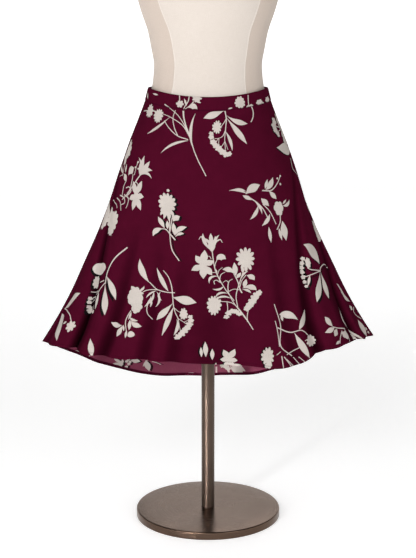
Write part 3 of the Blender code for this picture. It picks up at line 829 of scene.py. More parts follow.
edge_cluster = [
    *frill(-171, -69, 21.1, 9, 0.3, 0.56), *frill(-180, -83, 17.9, 6, 0.27, 0.52),
    *stem(2.2, 1.7, -176, -90, -178, -106, -179, -123),
]
chrysanthemum = [
    *frill(-66, -180, 22.3, 13, 0.27, 0.7), *florets((-64, -154, 2.9)),
    *leaf(-67, -193, -71, -209, 4.9), *leaf(-62, -193, -62, -212, 5.8),
    *leaf(-59, -191, -54, -205, 4.5), *leaf(-73, -193, -77, -202, 4.3),
    *stem(1.6, 1.6, -61, -208, -60, -239, -56, -267, -44, -289),
    *stem(1.8, 1.3, -56, -201, -58, -216, -60, -233), *leaf(-55, -213, -44, -203, 10.9, 0.12, 0.55),
    *leaf(-52, -240, -55, -215, 6.9), *leaf(-51, -240, -33, -223, 8.6, 0.18, 0.6),
    *leaf(-51, -243, -37, -236, 5.2, 0.18, 0.6),
    *stem(2.3, 1.4, -51, -249, -60, -237, -67, -229, -76, -228),
    *leaf(-69, -227, -81, -205, 7.7, 0, 0.55), *leaf(-64, -228, -65, -212, 5.1),
    *leaf(-73, -228, -89, -243, 9.3, -0.2),
]
shadow_sprig = [
    *stem(3.1, 2.4, -139, -268, -164, -290, -178, -317, -180, -343),
    *frill(-207, -312, 13.3, 6, 0.06, 1.54), *frill(-215, -341, 14, 9, 0.27, 0.43),
    *leaf(-179, -327, -154, -374, 11.4, 0.06, 0.55), *leaf(-180, -343, -171, -406, 13.6, 0, 0.6),
    *stem(2.4, 1.7, -181, -341, -192, -351, -202, -362, -218, -373),
    *stem(2.2, 1.7, -185, -336, -199, -340), *stem(2, 1.5, -201, -358, -216, -361, -222, -361),
    *leaf(-198, -360, -199, -396, 7.9), *stem(0.8, 0.7, -208, -367, -220, -384),
    *stem(1.5, 1.3, -215, -371, -206, -397),
    *florets((-222, -375, 4.1), (-223, -383, 4.1), (-222, -393, 4.2), (-219, -400, 6.3), (-205, -401,
        3.8)),
]
rose_branch = [
    *leaf(-91, -335, -111, -289, 11.1, 0.08, 0.55),
    *stem(1.5, 1.7, -91, -334, -79, -347, -63, -351, -50, -352),
    *leaf(-60, -349, -80, -305, 7.2, 0.03, 0.45),
    *stem(1.6, 1.2, -53, -361, -55, -340, -60, -322, -69, -309),
    *stem(1.4, 1.5, -63, -351, -80, -348, -96, -350, -107, -359),
    *leaf(-109, -352, -100, -342, 3.7, -0.15), *leaf(-107, -357, -100, -357, 3),
    *leaf(-80, -350, -96, -365, 2.8, -0.1), *leaf(-84, -352, -93, -378, 3.4, 0.1),
    *leaf(-79, -352, -80, -382, 3.5, 0.18), *leaf(-73, -352, -70, -368, 3.1, -0.25),
    *leaf(-88, -361, -98, -383, 3.4, 0.08), *leaf(-89, -366, -89, -383, 2.9, 0.1),
    *stem(1.6, 1.2, -91, -369, -94, -385, -92, -397, -84, -407),
    *frill(-115, -365, 20.9, 10, 0.1, 0.67), *frill(-111, -384, 12.7, 7, 0.16, 0.75),
    *florets((-121, -347, 3.6)), *stem(1.8, 1.5, -120, -392, -126, -405, -128, -417, -124, -435),
    *leaf(-121, -405, -107, -411, 4.7, -0.16), *leaf(-118, -412, -100, -422, 9.6, -0.14, 0.55),
    *leaf(-120, -410, -120, -431, 5.6), *leaf(-119, -395, -123, -410, 3.7),
    *leaf(-134, -423, -158, -420, 10.1, 0.14, 0.55), *leaf(-133, -424, -142, -447, 8.9, 0, 0.55),
    *leaf(-132, -422, -129, -434, 3.6), *frill(-116, -439, 6.2, 3, 0.12, 0.97),
    *leaf(-124, -432, -125, -447, 4.1), *leaf(-53, -361, -17, -370, 16.5, 0, 0.55),
    *stem(1.5, 1.2, -53, -358, -52, -375, -49, -390, -44, -403),
    *leaf(-53, -373, -77, -407, 10.4, 0, 0.6), *leaf(-52, -381, -67, -437, 7.2),
    *frill(-36, -393, 11.4, 9, 0.27, 0.58), *stem(1.1, 1, -51, -381, -46, -387, -42, -390),
    *stem(1.3, 1, -45, -402, -38, -407, -29, -414), *stem(0.9, 0.7, -35, -409, -28, -404),
    *stem(1.1, 0.9, -44, -403, -42, -417, -39, -432), *stem(0.9, 0.8, -43, -409, -45, -427),
    *leaf(-46, -404, -50, -436, 4.5, 0.1, 0.55),
    *florets((-26, -398, 4), (-25, -405, 4.9), (-27, -413, 5.5), (-30, -420, 5.6), (-34, -426, 5.9),
        (-38, -432, 5.7), (-43, -438, 5.2), (-46, -441, 3.5)),
]
corner_sprig = [
    *leaf(-324, -385, -251, -363, 24.9), *stem(2.4, 2.2, -327, -385, -273, -405, -256, -423),
    *frill(-254, -435, 12.4, 7, 0.38, 1.09), *leaf(-331, -396, -281, -467, 31.8, 0.05),
    *leaf(-281, -428, -269, -425, 5.2), *leaf(-182, -494, -192, -456, 11.1),
]
bouquet = [
    *leaf(6, -271, 5, -243, 10.7, 0, 0.45), *leaf(6, -269, -8, -235, 5.2, 0.1, 0.6),
    *leaf(5, -269, -11, -243, 4.4, -0.2, 0.6), *stem(1.9, 0.8, -8, -243, -11, -241, -14, -247),
    *leaf(6, -265, 4, -235, 5.8, 0, 0.66), *leaf(7, -267, 11, -240, 4.3, -0.05, 0.62),
    *leaf(7, -267, 17, -238, 4.2, 0.1, 0.6), *leaf(7, -269, 19, -246, 4.4, 0.2, 0.6),
    *stem(2.1, 0.8, 15, -249, 19, -247, 22, -253),
    *stem(1.5, 1.3, 6, -267, 11, -306, 24, -340, 39, -367),
    *star(-7, -296, 11.1, (-5, -267), (-19, -278), (-25, -307), (-7, -323), (6, -316), (9, -288)),
    *stem(1, 0.8, -3, -281, 2, -279, 5, -285), *stem(1, 1, 3, -310, 12, -311),
    *leaf(13, -286, 27, -285, 12.8, 0.3), *stem(1.1, 1, 14, -285, 11, -294, 10, -302),
    *frill(58, -286, 22.9, 12, 0.35, 0.68), *leaf(53, -301, 53, -313, 4.7),
    *stem(1.4, 1.3, 54, -309, 47, -334, 42, -357, 44, -379), *leaf(39, -314, 22, -305, 9.5, -0.2, 0.6),
    *leaf(42, -318, 40, -292, 7.7), *leaf(43, -323, 50, -312, 5.5),
    *leaf(51, -323, 61, -310, 3.5, 0.15), *leaf(59, -318, 71, -328, 9.2, 0.14),
    *leaf(54, -342, 58, -325, 6.4), *leaf(52, -343, 74, -348, 9.7, 0.22, 0.6),
    *leaf(52, -345, 65, -353, 4.1, 0.14), *stem(1.3, 2.1, 39, -314, 45, -330, 48, -344, 51, -352),
    *stem(1.2, 1, 58, -317, 51, -328, 48, -340), *leaf(15, -318, 2, -332, 3.6, -0.32),
    *stem(1.1, 0.8, 14, -315, 17, -306, 22, -301), *leaf(14, -311, 10, -303, 2.6),
    *stem(1.5, 1, 17, -330, 19, -316, 26, -310), *stem(1.5, 1, 19, -331, 13, -326, 9, -328, 10, -334),
    *leaf(23, -338, 7, -343, 3.7, 0.22), *stem(1.5, 1, 30, -349, 30, -335, 32, -328, 37, -324),
    *stem(1.1, 0.9, 31, -331, 27, -327, 22, -331), *stem(1.3, 1, 31, -348, 39, -344, 48, -346),
    *leaf(29, -352, 11, -360, 3.4, -0.26), *leaf(34, -362, 10, -365, 3.5, -0.22),
    *stem(1.5, 1.3, 66, -425, 53, -396, 37, -372, 16, -367),
    *stem(1.3, 1.1, 58, -407, 47, -387, 37, -368, 30, -349), *frill(9, -375, 20.1, 13, 0.26, 0.53),
    *stem(1.2, 1, 28, -368, 29, -378, 29, -388),
    *florets((27, -398, 4.4), (30, -391, 5.1), (36, -387, 5.1), (41, -388, 4.9), (46, -393, 4.2)),
    *florets((58, -383, 5.5), (62, -377, 6.5), (66, -370, 6.9), (70, -363, 7), (74, -357, 6.6), (78,
        -353, 5.5)),
    *stem(1.3, 1.1, 58, -409, 58, -397, 60, -386),
]
hem_flowers = [
    *leaf(-3, -477, -4, -447, 6.7), *leaf(-9, -477, -10, -458, 4.2), *leaf(6, -483, 6, -461, 5.6),
    *star(29, -483, 9.1, (22, -463), (38, -462), (41, -485), (17, -482), (25, -500), (34, -501)),
    *leaf(32, -491, 51, -503, 9.6), *leaf(11, -489, 10, -499, 2.8),
    *frill(85, -480, 18.6, 11, 0.32, 0.54), *frill(85, -498, 5.9, 5, 0.2),
]
vine = [
    *stem(1.5, 1.9, 103, -378, 111, -421, 107, -461, 125, -485),
    *stem(1.3, 1.3, 102, -411, 104, -425, 105, -443, 105, -463),
    *leaf(111, -400, 143, -413, 14.4, 0.13, 0.4), *leaf(114, -401, 116, -413, 4.5),
    *stem(2.2, 1.7, 105, -425, 126, -437, 148, -435, 164, -451),
    *leaf(143, -433, 163, -395, 10.7, -0.04, 0.45), *frill(165, -459, 11.7, 9, 0.27),
    *leaf(134, -439, 155, -493, 12.1, 0, 0.55), *stem(1.5, 1.2, 160, -453, 151, -457),
    *stem(1.2, 1.2, 106, -473, 99, -479), *stem(1.7, 1.3, 116, -481, 128, -475, 140, -469),
    *stem(1.7, 1.4, 107, -482, 108, -506), *stem(1.7, 1.4, 111, -484, 122, -506),
    *stem(1.4, 1.2, 115, -490, 126, -506), *stem(1.3, 1.1, 127, -488, 138, -506),
    *stem(1.4, 1.1, 136, -488, 147, -501),
]
twig = [
    *leaf(216, -434, 200, -412, 13.5, 0, 0.55), *leaf(220, -436, 194, -445, 10),
    *leaf(227, -439, 214, -454, 11.1), *stem(2.2, 2, 257, -438, 231, -437, 216, -434),
    *stem(5, 3.3, 266, -386, 263, -421, 289, -447, 307, -464),
    *stem(2.8, 2, 253, -437, 259, -454, 258, -467), *frill(250, -452, 9.3, 5, 0.2, 1.25),
    *leaf(274, -448, 296, -461, 11), *stem(2.2, 1.7, 242, -443, 230, -458, 223, -470),
    *leaf(225, -464, 212, -471, 5.1), *leaf(333, -412, 344, -450, 22),
    *stem(2.2, 2, 335, -382, 327, -394, 335, -403, 351, -408),
    *florets((320, -386, 6.1), (354, -431, 3.4), (357, -439, 3.4)), *leaf(275, -339, 310, -360, 15),
    *leaf(283, -356, 326, -371, 13.2),
]
shadow_umbel = [
    *leaf(218, -302, 178, -263, 27.7, -0.12), *stem(2.2, 2, 214, -319, 220, -309, 241, -300, 263, -304),
    *frill(181, -301, 11.1, 7, 0.2, 0.55),
    *florets((172, -292, 4.6), (169, -301, 5), (167, -310, 5.1), (167, -319, 5.1), (168, -329, 4.8),
        (170, -339, 4), (172, -348, 3.4)),
    *stem(2.2, 1.7, 215, -316, 187, -315, 178, -311), *stem(2.2, 1.7, 214, -317, 188, -324, 171, -329),
    *leaf(181, -326, 175, -347, 4.8), *leaf(214, -319, 188, -381, 16.2, 0, 0.6),
    *leaf(216, -319, 227, -374, 15.8, 0, 0.6),
]
side_spray = [
    *leaf(60, -161, 86, -144, 15.7, 0.08, 0.55), *leaf(62, -160, 33, -153, 4.5, -0.12),
    *leaf(61, -156, 42, -150, 2.4, -0.1), *leaf(97, -154, 113, -130, 10.5, -0.1),
    *leaf(96, -152, 101, -134, 5.4), *stem(2.3, 1.6, 90, -155, 109, -155, 123, -142, 131, -128),
    *florets((124, -132, 2.2), (131, -143, 2.5), (132, -127, 2.3)),
    *leaf(104, -156, 120, -172, 8.8, 0, 0.55), *leaf(71, -172, 55, -163, 6.7),
    *stem(1.9, 1.6, 61, -164, 78, -176, 91, -190, 100, -208), *leaf(76, -175, 89, -200, 4.1, 0.1),
    *leaf(88, -170, 103, -185, 10.1), *stem(1.7, 1.4, 91, -181, 105, -197, 116, -221),
    *frill(124, -190, 14.9, 6, 0.16, 0.71), *leaf(134, -185, 153, -173, 6.2, -0.2),
    *leaf(134, -182, 144, -173, 3.4), *stem(1.9, 1.7, 126, -201, 125, -217, 117, -232),
    *leaf(130, -215, 135, -254, 14.7), *leaf(121, -229, 126, -253, 5.6),
    *leaf(101, -226, 104, -257, 6.2), *leaf(104, -201, 88, -223, 7, 0.1),
    *leaf(82, -184, 67, -210, 6.2, 0.1),
]
edge_umbel = [
    *florets((162, -3, 10.6), (138, -17, 8.9), (133, -27, 8.7), (136, -35, 8.4), (143, -42, 6.8)),
    *frill(162, -12, 14.4, 6, 0.27, 0.72), *stem(2.2, 1.7, 193, -28, 162, -26, 141, -26),
    *stem(1.7, 1.3, 173, -23, 155, -19), *stem(1.7, 1.3, 181, -21, 147, -36),
    *frill(177, -39, 25.6, 10, 0.24, 0.62), *leaf(202, -60, 130, -71, 24.4, 0.05),
    *stem(0.7, 0.7, 153, 20, 167, 16, 187, -15, 187, -25),
    *stem(2.2, 1.7, 185, -84, 186, -107, 209, -115), *frill(261, -224, 22.7, 8, 0.22, 1.05),
    *leaf(260, -203, 261, -246, 20.3, 0, 0.6),
]
small_bits = [
    *stem(2.3, 2, 75, 11, 79, -1, 78, -13, 73, -23),
]
hem_inside_right = [
    *leaf(-77, -593, -57, -581, 5.2), *leaf(-77, -594, -60, -594, 5.4),
    *leaf(-77, -598, -68, -603, 4.7), *frill(-75, -594, 10.8, 8, 0.27, 0.39),
    *florets((-83, -586, 3.2), (-85, -581, 3.2), (-88, -591, 3), (-86, -598, 2.8), (-89, -586, 2.7)),
    *leaf(-89, -582, -105, -581, 9.8), *leaf(-113, -576, -124, -598, 9.4),
    *leaf(-115, -575, -112, -591, 3.2), *stem(1.6, 1.1, -123, -576, -130, -576, -138, -578),
    *leaf(65, -567, 45, -574, 3.6), *leaf(28, -572, 6, -575, 4.2), *leaf(-1, -573, -15, -573, 4.9),
    *leaf(-185, -590, -199, -591, 3.8),
]
hem_inside_left = [
    *stem(2.4, 2.4, 199, -574, 203, -592), *leaf(183, -568, 183, -596, 3.6),
    *leaf(193, -578, 182, -571, 2.9), *leaf(177, -572, 157, -591, 12.5),
    *frill(167, -587, 7.8, 6, 0.27, 1.12), *leaf(178, -576, 171, -598, 5.1),
    *leaf(128, -584, 118, -596, 4.2),
]
band_print = [
    *frill(-50, -16, 7.1, 6, 0.34, 1.04), *stem(2, 1.5, -53, 1, -51, -11),
    *leaf(-37, -18, -43, -5, 3.4), *stem(1.8, 1.5, -34, 4, -35, -9, -40, -19, -42, -25),
    *frill(-20, -3, 7.4, 7, 0.34, 1.16), *leaf(-21, -8, -12, -11, 3),
    *stem(1.9, 1.2, -25, -9, -31, -17, -39, -24), *leaf(-18, -23, -34, -21, 10.2, -0.25),
    *stem(1.8, 1.8, -82, -21, -71, -25), *leaf(34, -24, 42, -22, 2.6), *frill(58, -14, 11, 10, 0.22),
    *stem(1.7, 1.3, 59, -23, 62, -30), *stem(2.1, 1.9, 78, -3, 76, -14, 75, -27),
    *leaf(77, -22, 86, -24, 3.8), *leaf(75, -22, 69, -25, 2.7),
    *stem(2.3, 2.3, 77, -22, 79, -30, 79, -37), *frill(104, -21, 5.6, 6, 0.27, 1.82),
    *leaf(112, -22, 118, -29, 6.6), *frill(137, -21, 6.5, 6, 0.27, 1.72),
    *leaf(-156, -8, -141, -20, 4.6), *leaf(-123, -7, -104, -7, 3),
]

front_print = (
    grass_spray + umbel_spray + lily_spray + edge_cluster + bouquet + rose_branch
    + corner_sprig + vine + twig + side_spray + small_bits
    + shaded(chrysanthemum, 4.0, -1.0) + shaded(shadow_sprig, -4.4, -4.0)
    + shaded(shadow_umbel, 3.2, -4.6) + shaded(edge_umbel, -3.6, -2.0)
    + shaded(hem_flowers, -2.4, 0.4)
)
back_left_print = arranged(
    (grass_spray, -20, -62, -14), (umbel_spray, 62, -150, 24), (lily_spray, -62, -215, -8),
    (chrysanthemum, 62, -272, 14, 4.0, -1.0), (bouquet, -88, -375, -16),
    (shadow_sprig, 108, -400, 36, -4.4, -4.0), (rose_branch, 130, -515, 8),
    (vine, 10, -478, -10), (hem_flowers, -112, -505, -6, -2.4, 0.4),
) + hem_inside_left
back_right_print = arranged(
    (umbel_spray, -38, -52, -18), (side_spray, 34, -128, 16),
    (chrysanthemum, -76, -210, -14, 4.0, -1.0), (grass_spray, 62, -262, 150),
    (shadow_umbel, -48, -330, -20, 3.2, -4.6), (rose_branch, 92, -400, 18),
    (bouquet, -120, -468, 18), (vine, -2, -510, 24), (hem_flowers, 124, -506, 8, -2.4, 0.4),
) + shaded(hem_inside_right, -4.0, 0.5)


# ---- The skirt: the printed cloth ------------------------------------------------------
# Polyester crepe with a dry, faintly pebbled face. The print is on the right side, and it
# shows a little paler through the wrong side, which is a dusty, lighter burgundy.

def inside(outline, places):
    """Which places lie inside an outline: count the sides crossed by a line to the right."""
    ends = np.roll(outline, -1)
    x, y = places.real[:, None], places.imag[:, None]
    spans = (outline.imag <= y) != (ends.imag <= y)
    rise = np.where(ends.imag == outline.imag, 1.0, ends.imag - outline.imag)
    cross = outline.real + (y - outline.imag) * (ends.real - outline.real) / rise
    return (spans & (x < cross)).sum(axis=1) % 2 == 1


def inked(prints, places):
    """The ink at each place of the cloth: the last outline laid over it decides."""
    ink = np.full(len(places), GROUND, dtype=float)
    for colour, outline in prints:
        near = np.abs(places.real - outline.real.mean()) < np.ptp(outline.real)
        near &= np.abs(places.imag - outline.imag.mean()) < np.ptp(outline.imag)
        spots = np.flatnonzero(near)
        ink[spots[inside(outline, places[spots])]] = colour
    return ink


def wall_of(name, flat, triangles, ink, outer, inner, facing, finish):
    """A thin closed wall of cloth: the triangles on its outer side, the same ones turned over
    on its inner side, and a rim between them. The shading follows the smooth surface."""
    count = len(flat)
    edges = np.concatenate([triangles[:, [0, 1]], triangles[:, [1, 2]], triangles[:, [2, 0]]])
    key = np.sort(edges, axis=1) @ np.array([count, 1])
    _, first, uses = np.unique(key, return_index=True, return_counts=True)
    rim = edges[first[uses == 1]]
    rim = np.stack([rim[:, 1], rim[:, 0], rim[:, 0] + count, rim[:, 1] + count], axis=-1)
    faces = triangles.tolist() + (triangles[:, ::-1] + count).tolist() + rim.tolist()
    points = np.concatenate([outer, inner])
    piece = shaped(name, points, faces, finish)
    rim_facing = np.cross(points[rim[:, 1]] - points[rim[:, 0]], points[rim[:, 3]] - points[rim[:, 0]])
    rim_facing /= np.maximum(np.linalg.norm(rim_facing, axis=-1, keepdims=True), 1e-12)
    normals = np.concatenate([
        facing[triangles].reshape(-1, 3),
        -facing[triangles[:, ::-1]].reshape(-1, 3),
        np.repeat(rim_facing, 4, axis=0),
    ])
    piece.data.normals_split_custom_set(normals.tolist())
    give(piece.data, "ink", "FACE", np.concatenate([ink, ink, np.zeros(len(rim))]))
    sides = [0.0] * len(triangles) + [1.0] * len(triangles) + [0.5] * len(rim)
    give(piece.data, "wrong_side", "FACE", sides)
    give_uv(piece.data, np.concatenate([flat, flat]))
    return piece


FACING_ANGLE = 0.4
FACING_DOWN = 0.004


def facing_of(point, angle, down):
    """Unit normals of a surface: the cross product of its two directions at each spot."""
    above, below = np.clip(down - FACING_DOWN, 0, 1), np.clip(down + FACING_DOWN, 0, 1)
    across = point(angle + FACING_ANGLE, down, 0.0) - point(angle - FACING_ANGLE, down, 0.0)
    upward = point(angle, above, 0.0) - point(angle, below, 0.0)
    normal = np.cross(across, upward)
    return normal / np.linalg.norm(normal, axis=-1, keepdims=True)


def cut_cloth(prints, lay, wear, start, end, columns, downs):
    """Divide a flat panel into triangles that follow both an even grid and the outlines of
    the print, and tell the ink of each triangle."""
    across = np.linspace(start, end, columns)[None, :]
    grid = lay(across + 0 * downs[:, None], downs[:, None] + 0 * across)
    index = np.arange(grid.shape[0] * columns).reshape(-1, columns)
    edge = np.concatenate([index[0, :-1], index[:-1, -1], index[-1, :0:-1], index[:0:-1, 0]])
    places = [grid.reshape(-1, 2)]
    sides = [np.stack([edge, np.roll(edge, -1)], axis=-1)]
    total = index.size
    for _, outline in prints:
        ring = total + np.arange(len(outline))
        places.append(np.stack([outline.real, outline.imag], axis=-1) / 1000)
        sides.append(np.stack([ring, np.roll(ring, -1)], axis=-1))
        total += len(outline)
    flat, _, faces, _, _, _ = delaunay_2d_cdt(
        [Vector(place) for place in np.concatenate(places).tolist()],
        np.concatenate(sides).tolist(), [], 0, 1e-6, False,
    )
    flat = np.array([tuple(place) for place in flat])
    faces = np.array(faces)
    a, b, c = flat[faces[:, 0]], flat[faces[:, 1]], flat[faces[:, 2]]
    area = (b - a)[:, 0] * (c - a)[:, 1] - (b - a)[:, 1] * (c - a)[:, 0]
    faces = np.where(area[:, None] < 0, faces[:, ::-1], faces)[np.abs(area) > 1e-11]
    middle = flat[faces].mean(axis=1)
    angle, _, on_cloth = wear(middle)
    on_cloth &= (angle > start) & (angle < end)
    faces, middle = faces[on_cloth], middle[on_cloth]
    used, faces = np.unique(faces, return_inverse=True)
    ink = inked(prints, (middle[:, 0] + 1j * middle[:, 1]) * 1000)
    return flat[used], faces.reshape(-1, 3), ink


def within_seams(angle, start, end, height):
    """Draw a panel's angles in a little at both ends, by half of the gap at each seam: over
    the back depth at a side seam, and over the half width at the centre back."""
    shrink = []
    for seam in (start, end):
        column = 3 if abs(abs(seam) - 90) < 1 else 1
        drop = WAIST_HEIGHT - height
        shrink.append(np.degrees(0.5 * SEAM_GAP / smooth_rows(SKIRT_LEVELS, column, drop)))
    part = np.clip((angle - start) / (end - start), 0, 1)
    return start + shrink[0] + (end - start - shrink[0] - shrink[1]) * part


CLOTH_WALL = 0.0007
GROUND_COLOUR = (0.0518, 0.0027, 0.0121)
WRONG_COLOUR = (0.1560, 0.0320, 0.0600)
CREAM_COLOUR = (0.4450, 0.4010, 0.3680)
SHADOW_COLOUR = (0.0065, 0.0050, 0.0055)
# Dark thread for the stitches, also used for the painted shadow along the seams.
THREAD_AND_SHADE_COLOUR = (0.024, 0.002, 0.008)
STITCH_PITCH = 0.0016


def stitch_row(tree, name, middle, pitch):
    """A row of stitches at a stored distance: a fine line broken into short dashes."""
    line = line_of(tree, name, 0.0006, middle)
    place = node(tree, "UVMap", uv_map="cloth")
    parts = node(tree, "SeparateXYZ", {"Vector": place}).node.outputs
    wave = maths(tree, "PINGPONG", maths(tree, "ADD", parts["X"], parts["Y"]), pitch)
    return maths(tree, "MULTIPLY", line, maths(tree, "GREATER_THAN", wave, pitch * 0.35))


def is_ink(tree, ink, kind):
    """1 where the stored ink is of one kind, and 0 elsewhere."""
    return maths(tree, "COMPARE", ink, float(kind), 0.3)


def scaled(tree, colour, factor):
    """A colour made lighter or darker by a factor."""
    return node(tree, "VectorMath", {0: colour, "Scale": factor}, operation="SCALE")


def printed_crepe():
    """The cloth's ground, inks and painted fold shade, then its stitching and painted seam shadow,
    then its face by bump.
    """
    finish, tree, shader = principled(
        "printed_crepe", roughness=0.60, Sheen_Weight=0.01, Sheen_Roughness=0.4,
        Sheen_Tint=(1.0, 0.45, 0.60, 1), Specular_IOR_Level=0.0,
    )
    ink = stored(tree, "ink")
    side = stored(tree, "wrong_side")
    place = node(tree, "UVMap", uv_map="cloth")
    threads = thread_marks(tree, place, 0.0007, 1.4)
    thread_tone = ranged(tree, threads, 0.2, 2.6, 0.86, 1.12)
    cloud = noise(tree, place, 30.0, 5.0, Roughness=0.6)
    tone = maths(tree, "MULTIPLY", thread_tone, ranged(tree, cloud, 0.3, 0.7, 0.93, 1.07))
    # Painted shade: the ground colour is darkened in the fold valleys, down to 6 % at the deepest.
    shade = ranged(tree, stored(tree, "painted_fold_shade"), 0.0, 1.0, 1.0, 0.06)
    ground = scaled(tree, mixed(tree, side, GROUND_COLOUR, WRONG_COLOUR), shade)
    is_cream, is_shadow = is_ink(tree, ink, CREAM), is_ink(tree, ink, SHADOW)
    colour = mixed(tree, is_cream, ground, CREAM_COLOUR)
    colour = mixed(tree, is_shadow, colour, SHADOW_COLOUR)
    colour = mixed(tree, maths(tree, "MULTIPLY", side, 0.08), colour, WRONG_COLOUR)
    colour = scaled(tree, colour, tone)

    # Stitches of dark thread, a faint dark line where the hem's turned edge lies behind, and painted
    # shadow along the seams.
    stitches = stitch_row(tree, "hem_gap", 0.0052, STITCH_PITCH)
    fold = maths(tree, "MULTIPLY", line_of(tree, "hem_gap", 0.0012, 0.0062), 0.25)
    lines = maths(tree, "MULTIPLY_ADD", stitches, 0.6, fold)
    lines = maths(tree, "MULTIPLY_ADD", line_of(tree, "seam_gap", 0.0022), 0.6, lines)
    colour = mixed(tree, lines, colour, THREAD_AND_SHADE_COLOUR)

    weave = bumped(tree, threads, 0.30, 0.00015)
    face = bumped(tree, noise(tree, place, 900.0), 0.25, 0.0003, Normal=weave)
    long = node(tree, "Mapping", {"Vector": place, "Scale": (26.0, 110.0, 1.0)})
    pucker = noise(tree, long, 1.0)
    pull = maths(tree, "MULTIPLY", pucker, line_of(tree, "seam_gap", 0.012))
    sewing = bumped(tree, pull, 0.5, 0.0012, Normal=face)
    wire(shader, Base_Color=colour, Normal=sewing)
    return finish


crepe = printed_crepe()


# ---- The skirt: front and back panels --------------------------------------------------
# The three panels are sewn together at both sides and at the centre back, and turned up at
# the hem by a narrow double fold with one row of stitches.

HEM_TURN = 0.0060
HEM_AROUND = 12
HEM_RAISED = 0.0003
HEM_BEHIND = 0.00055
HEM_HALF_THICKNESS = 0.00040
CUT_ALLOWANCE = 0.010
CUT_OUTLINE = 0.95
SEAM_SINK = 0.0004
SEAM_SINK_WIDTH = 0.0012


def skirt_panel(name, node_name, prints, start, end, columns):
    """One worn panel: its flat triangles are carried to the skirt's surface. Its painted fold shade
    is how far a fold sinks, against a depth that grows down the cloth."""
    middle = 0.5 * (start + end)
    downs = np.linspace(0, 1, 88) ** 1.05

    def lay(angle, down):
        return lay_panel(angle, down, middle)

    def wear(flat):
        return wear_panel(flat, middle)

    flat, triangles, ink = cut_cloth(prints, lay, wear, start, end, columns, downs)
    angle, down, _ = wear(flat)
    angle = np.clip(angle, start, end)
    height = skirt_point(angle, down, 0.0)[:, 2]
    worn = within_seams(angle, start, end, height)
    tuck = np.minimum(np.abs(angle - start), np.abs(angle - end))
    whole = walk_at(angle, np.ones_like(angle))
    length = walk_at(angle, down)
    seam_gap = np.minimum(tuck * FLAT_SPREAD * (FLAT_WAIST_RADIUS + length), length)
    sink = -SEAM_SINK * np.exp(-(seam_gap / SEAM_SINK_WIDTH) ** 2)
    outer = skirt_point(worn, down, sink)
    inner = skirt_point(worn, down, sink - CLOTH_WALL)
    facing = facing_of(skirt_point, angle, down)
    # Painted fold shade: 0 on the ridges, rising to 1 in the deepest fold valleys.
    painted_fold_shade = np.clip(-fold_rise(angle, down) / (0.004 + 0.011 * down), 0, 1) ** 0.65
    piece = wall_of(name, flat, triangles, ink, outer, inner, facing, crepe)
    give(piece.data, "seam_gap", "POINT", np.tile(seam_gap, 2))
    give(piece.data, "hem_gap", "POINT", np.tile(whole - length, 2))
    give(piece.data, "painted_fold_shade", "POINT", np.concatenate([painted_fold_shade, 0 * painted_fold_shade]))
    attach(piece, "root")
    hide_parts(node_name)
    return piece, flat, triangles


def hem_fold(name, start, end, columns):
    """The turned hem inside a panel: a narrow strip that hugs the wall, rounded at its edges."""
    angle = np.linspace(start + 0.1, end - 0.1, columns)[:, None]
    around = np.linspace(0, 2 * np.pi, HEM_AROUND, endpoint=False)
    whole = walk_at(angle, np.ones_like(angle))
    rise = HEM_TURN * (0.5 + 0.5 * np.cos(around)) + HEM_RAISED
    out = -CLOTH_WALL - HEM_BEHIND - HEM_HALF_THICKNESS * np.sin(around)
    down = 1 - rise / whole
    points = skirt_point(angle + 0 * around, down, out + 0 * angle)
    strip = shaped(name, points, tube_faces(columns, HEM_AROUND, over=True), crepe, sharp=60)
    strip_flat = lay_panel(angle + 0 * around, down, 0.5 * (start + end))
    give_uv(strip.data, strip_flat.reshape(-1, 2))
    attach(strip, "root")
    return strip


def declare_cloth(flat, triangles):
    """Work out the cloth's flat cut: the panel with an allowance all round for seams and hem. Its
    outline is a little shorter than the box round it. The sizes are worked out and not used."""
    low, high = flat.min(axis=0) - CUT_ALLOWANCE, flat.max(axis=0) + CUT_ALLOWANCE
    a, b, c = flat[triangles[:, 0]], flat[triangles[:, 1]], flat[triangles[:, 2]]
    area = 0.5 * np.sum((b - a)[:, 0] * (c - a)[:, 1] - (b - a)[:, 1] * (c - a)[:, 0])
    width, length = (float(value) for value in high - low)
    area = float(area + 2 * CUT_ALLOWANCE * (width + length) * CUT_OUTLINE)


for side, node_name, prints, start, end, columns, hem_columns in (
    ("front", "skirt_front", front_print, -90, 90, 150, 240),
    ("back_left", "skirt_back_left", back_left_print, 90, 180, 76, 130),
    ("back_right", "skirt_back_right", back_right_print, -180, -90, 76, 130),
):
    panel, flat, triangles = skirt_panel(side + "_panel", node_name, prints, start, end, columns)
    strip = hem_fold(side + "_hem", start, end, hem_columns)
    declare_cloth(flat, triangles)


# ---- The waistband ---------------------------------------------------------------------
# A straight strip of the same crepe, stiffened and folded over at the top, 25 mm high. It
# is joined at both sides, open at the centre back for the zip, and cuts across the print.

BAND_OUTER = 0.0004
BAND_THICKNESS = 0.0020
BAND_HALF_ARC = 0.1777
BAND_ROUND = 0.0009
BAND_PADDING = 0.0002
BAND_SEAM_SINK = 0.0005
BAND_SEAM_WIDTH = 0.0010


def band_point(angle, down, out):
    """A point of the waistband: down runs from 0 at its top edge to 1 at the seam."""
    return plan_point(angle, waist_height(angle) - BAND_HEIGHT * down, out)


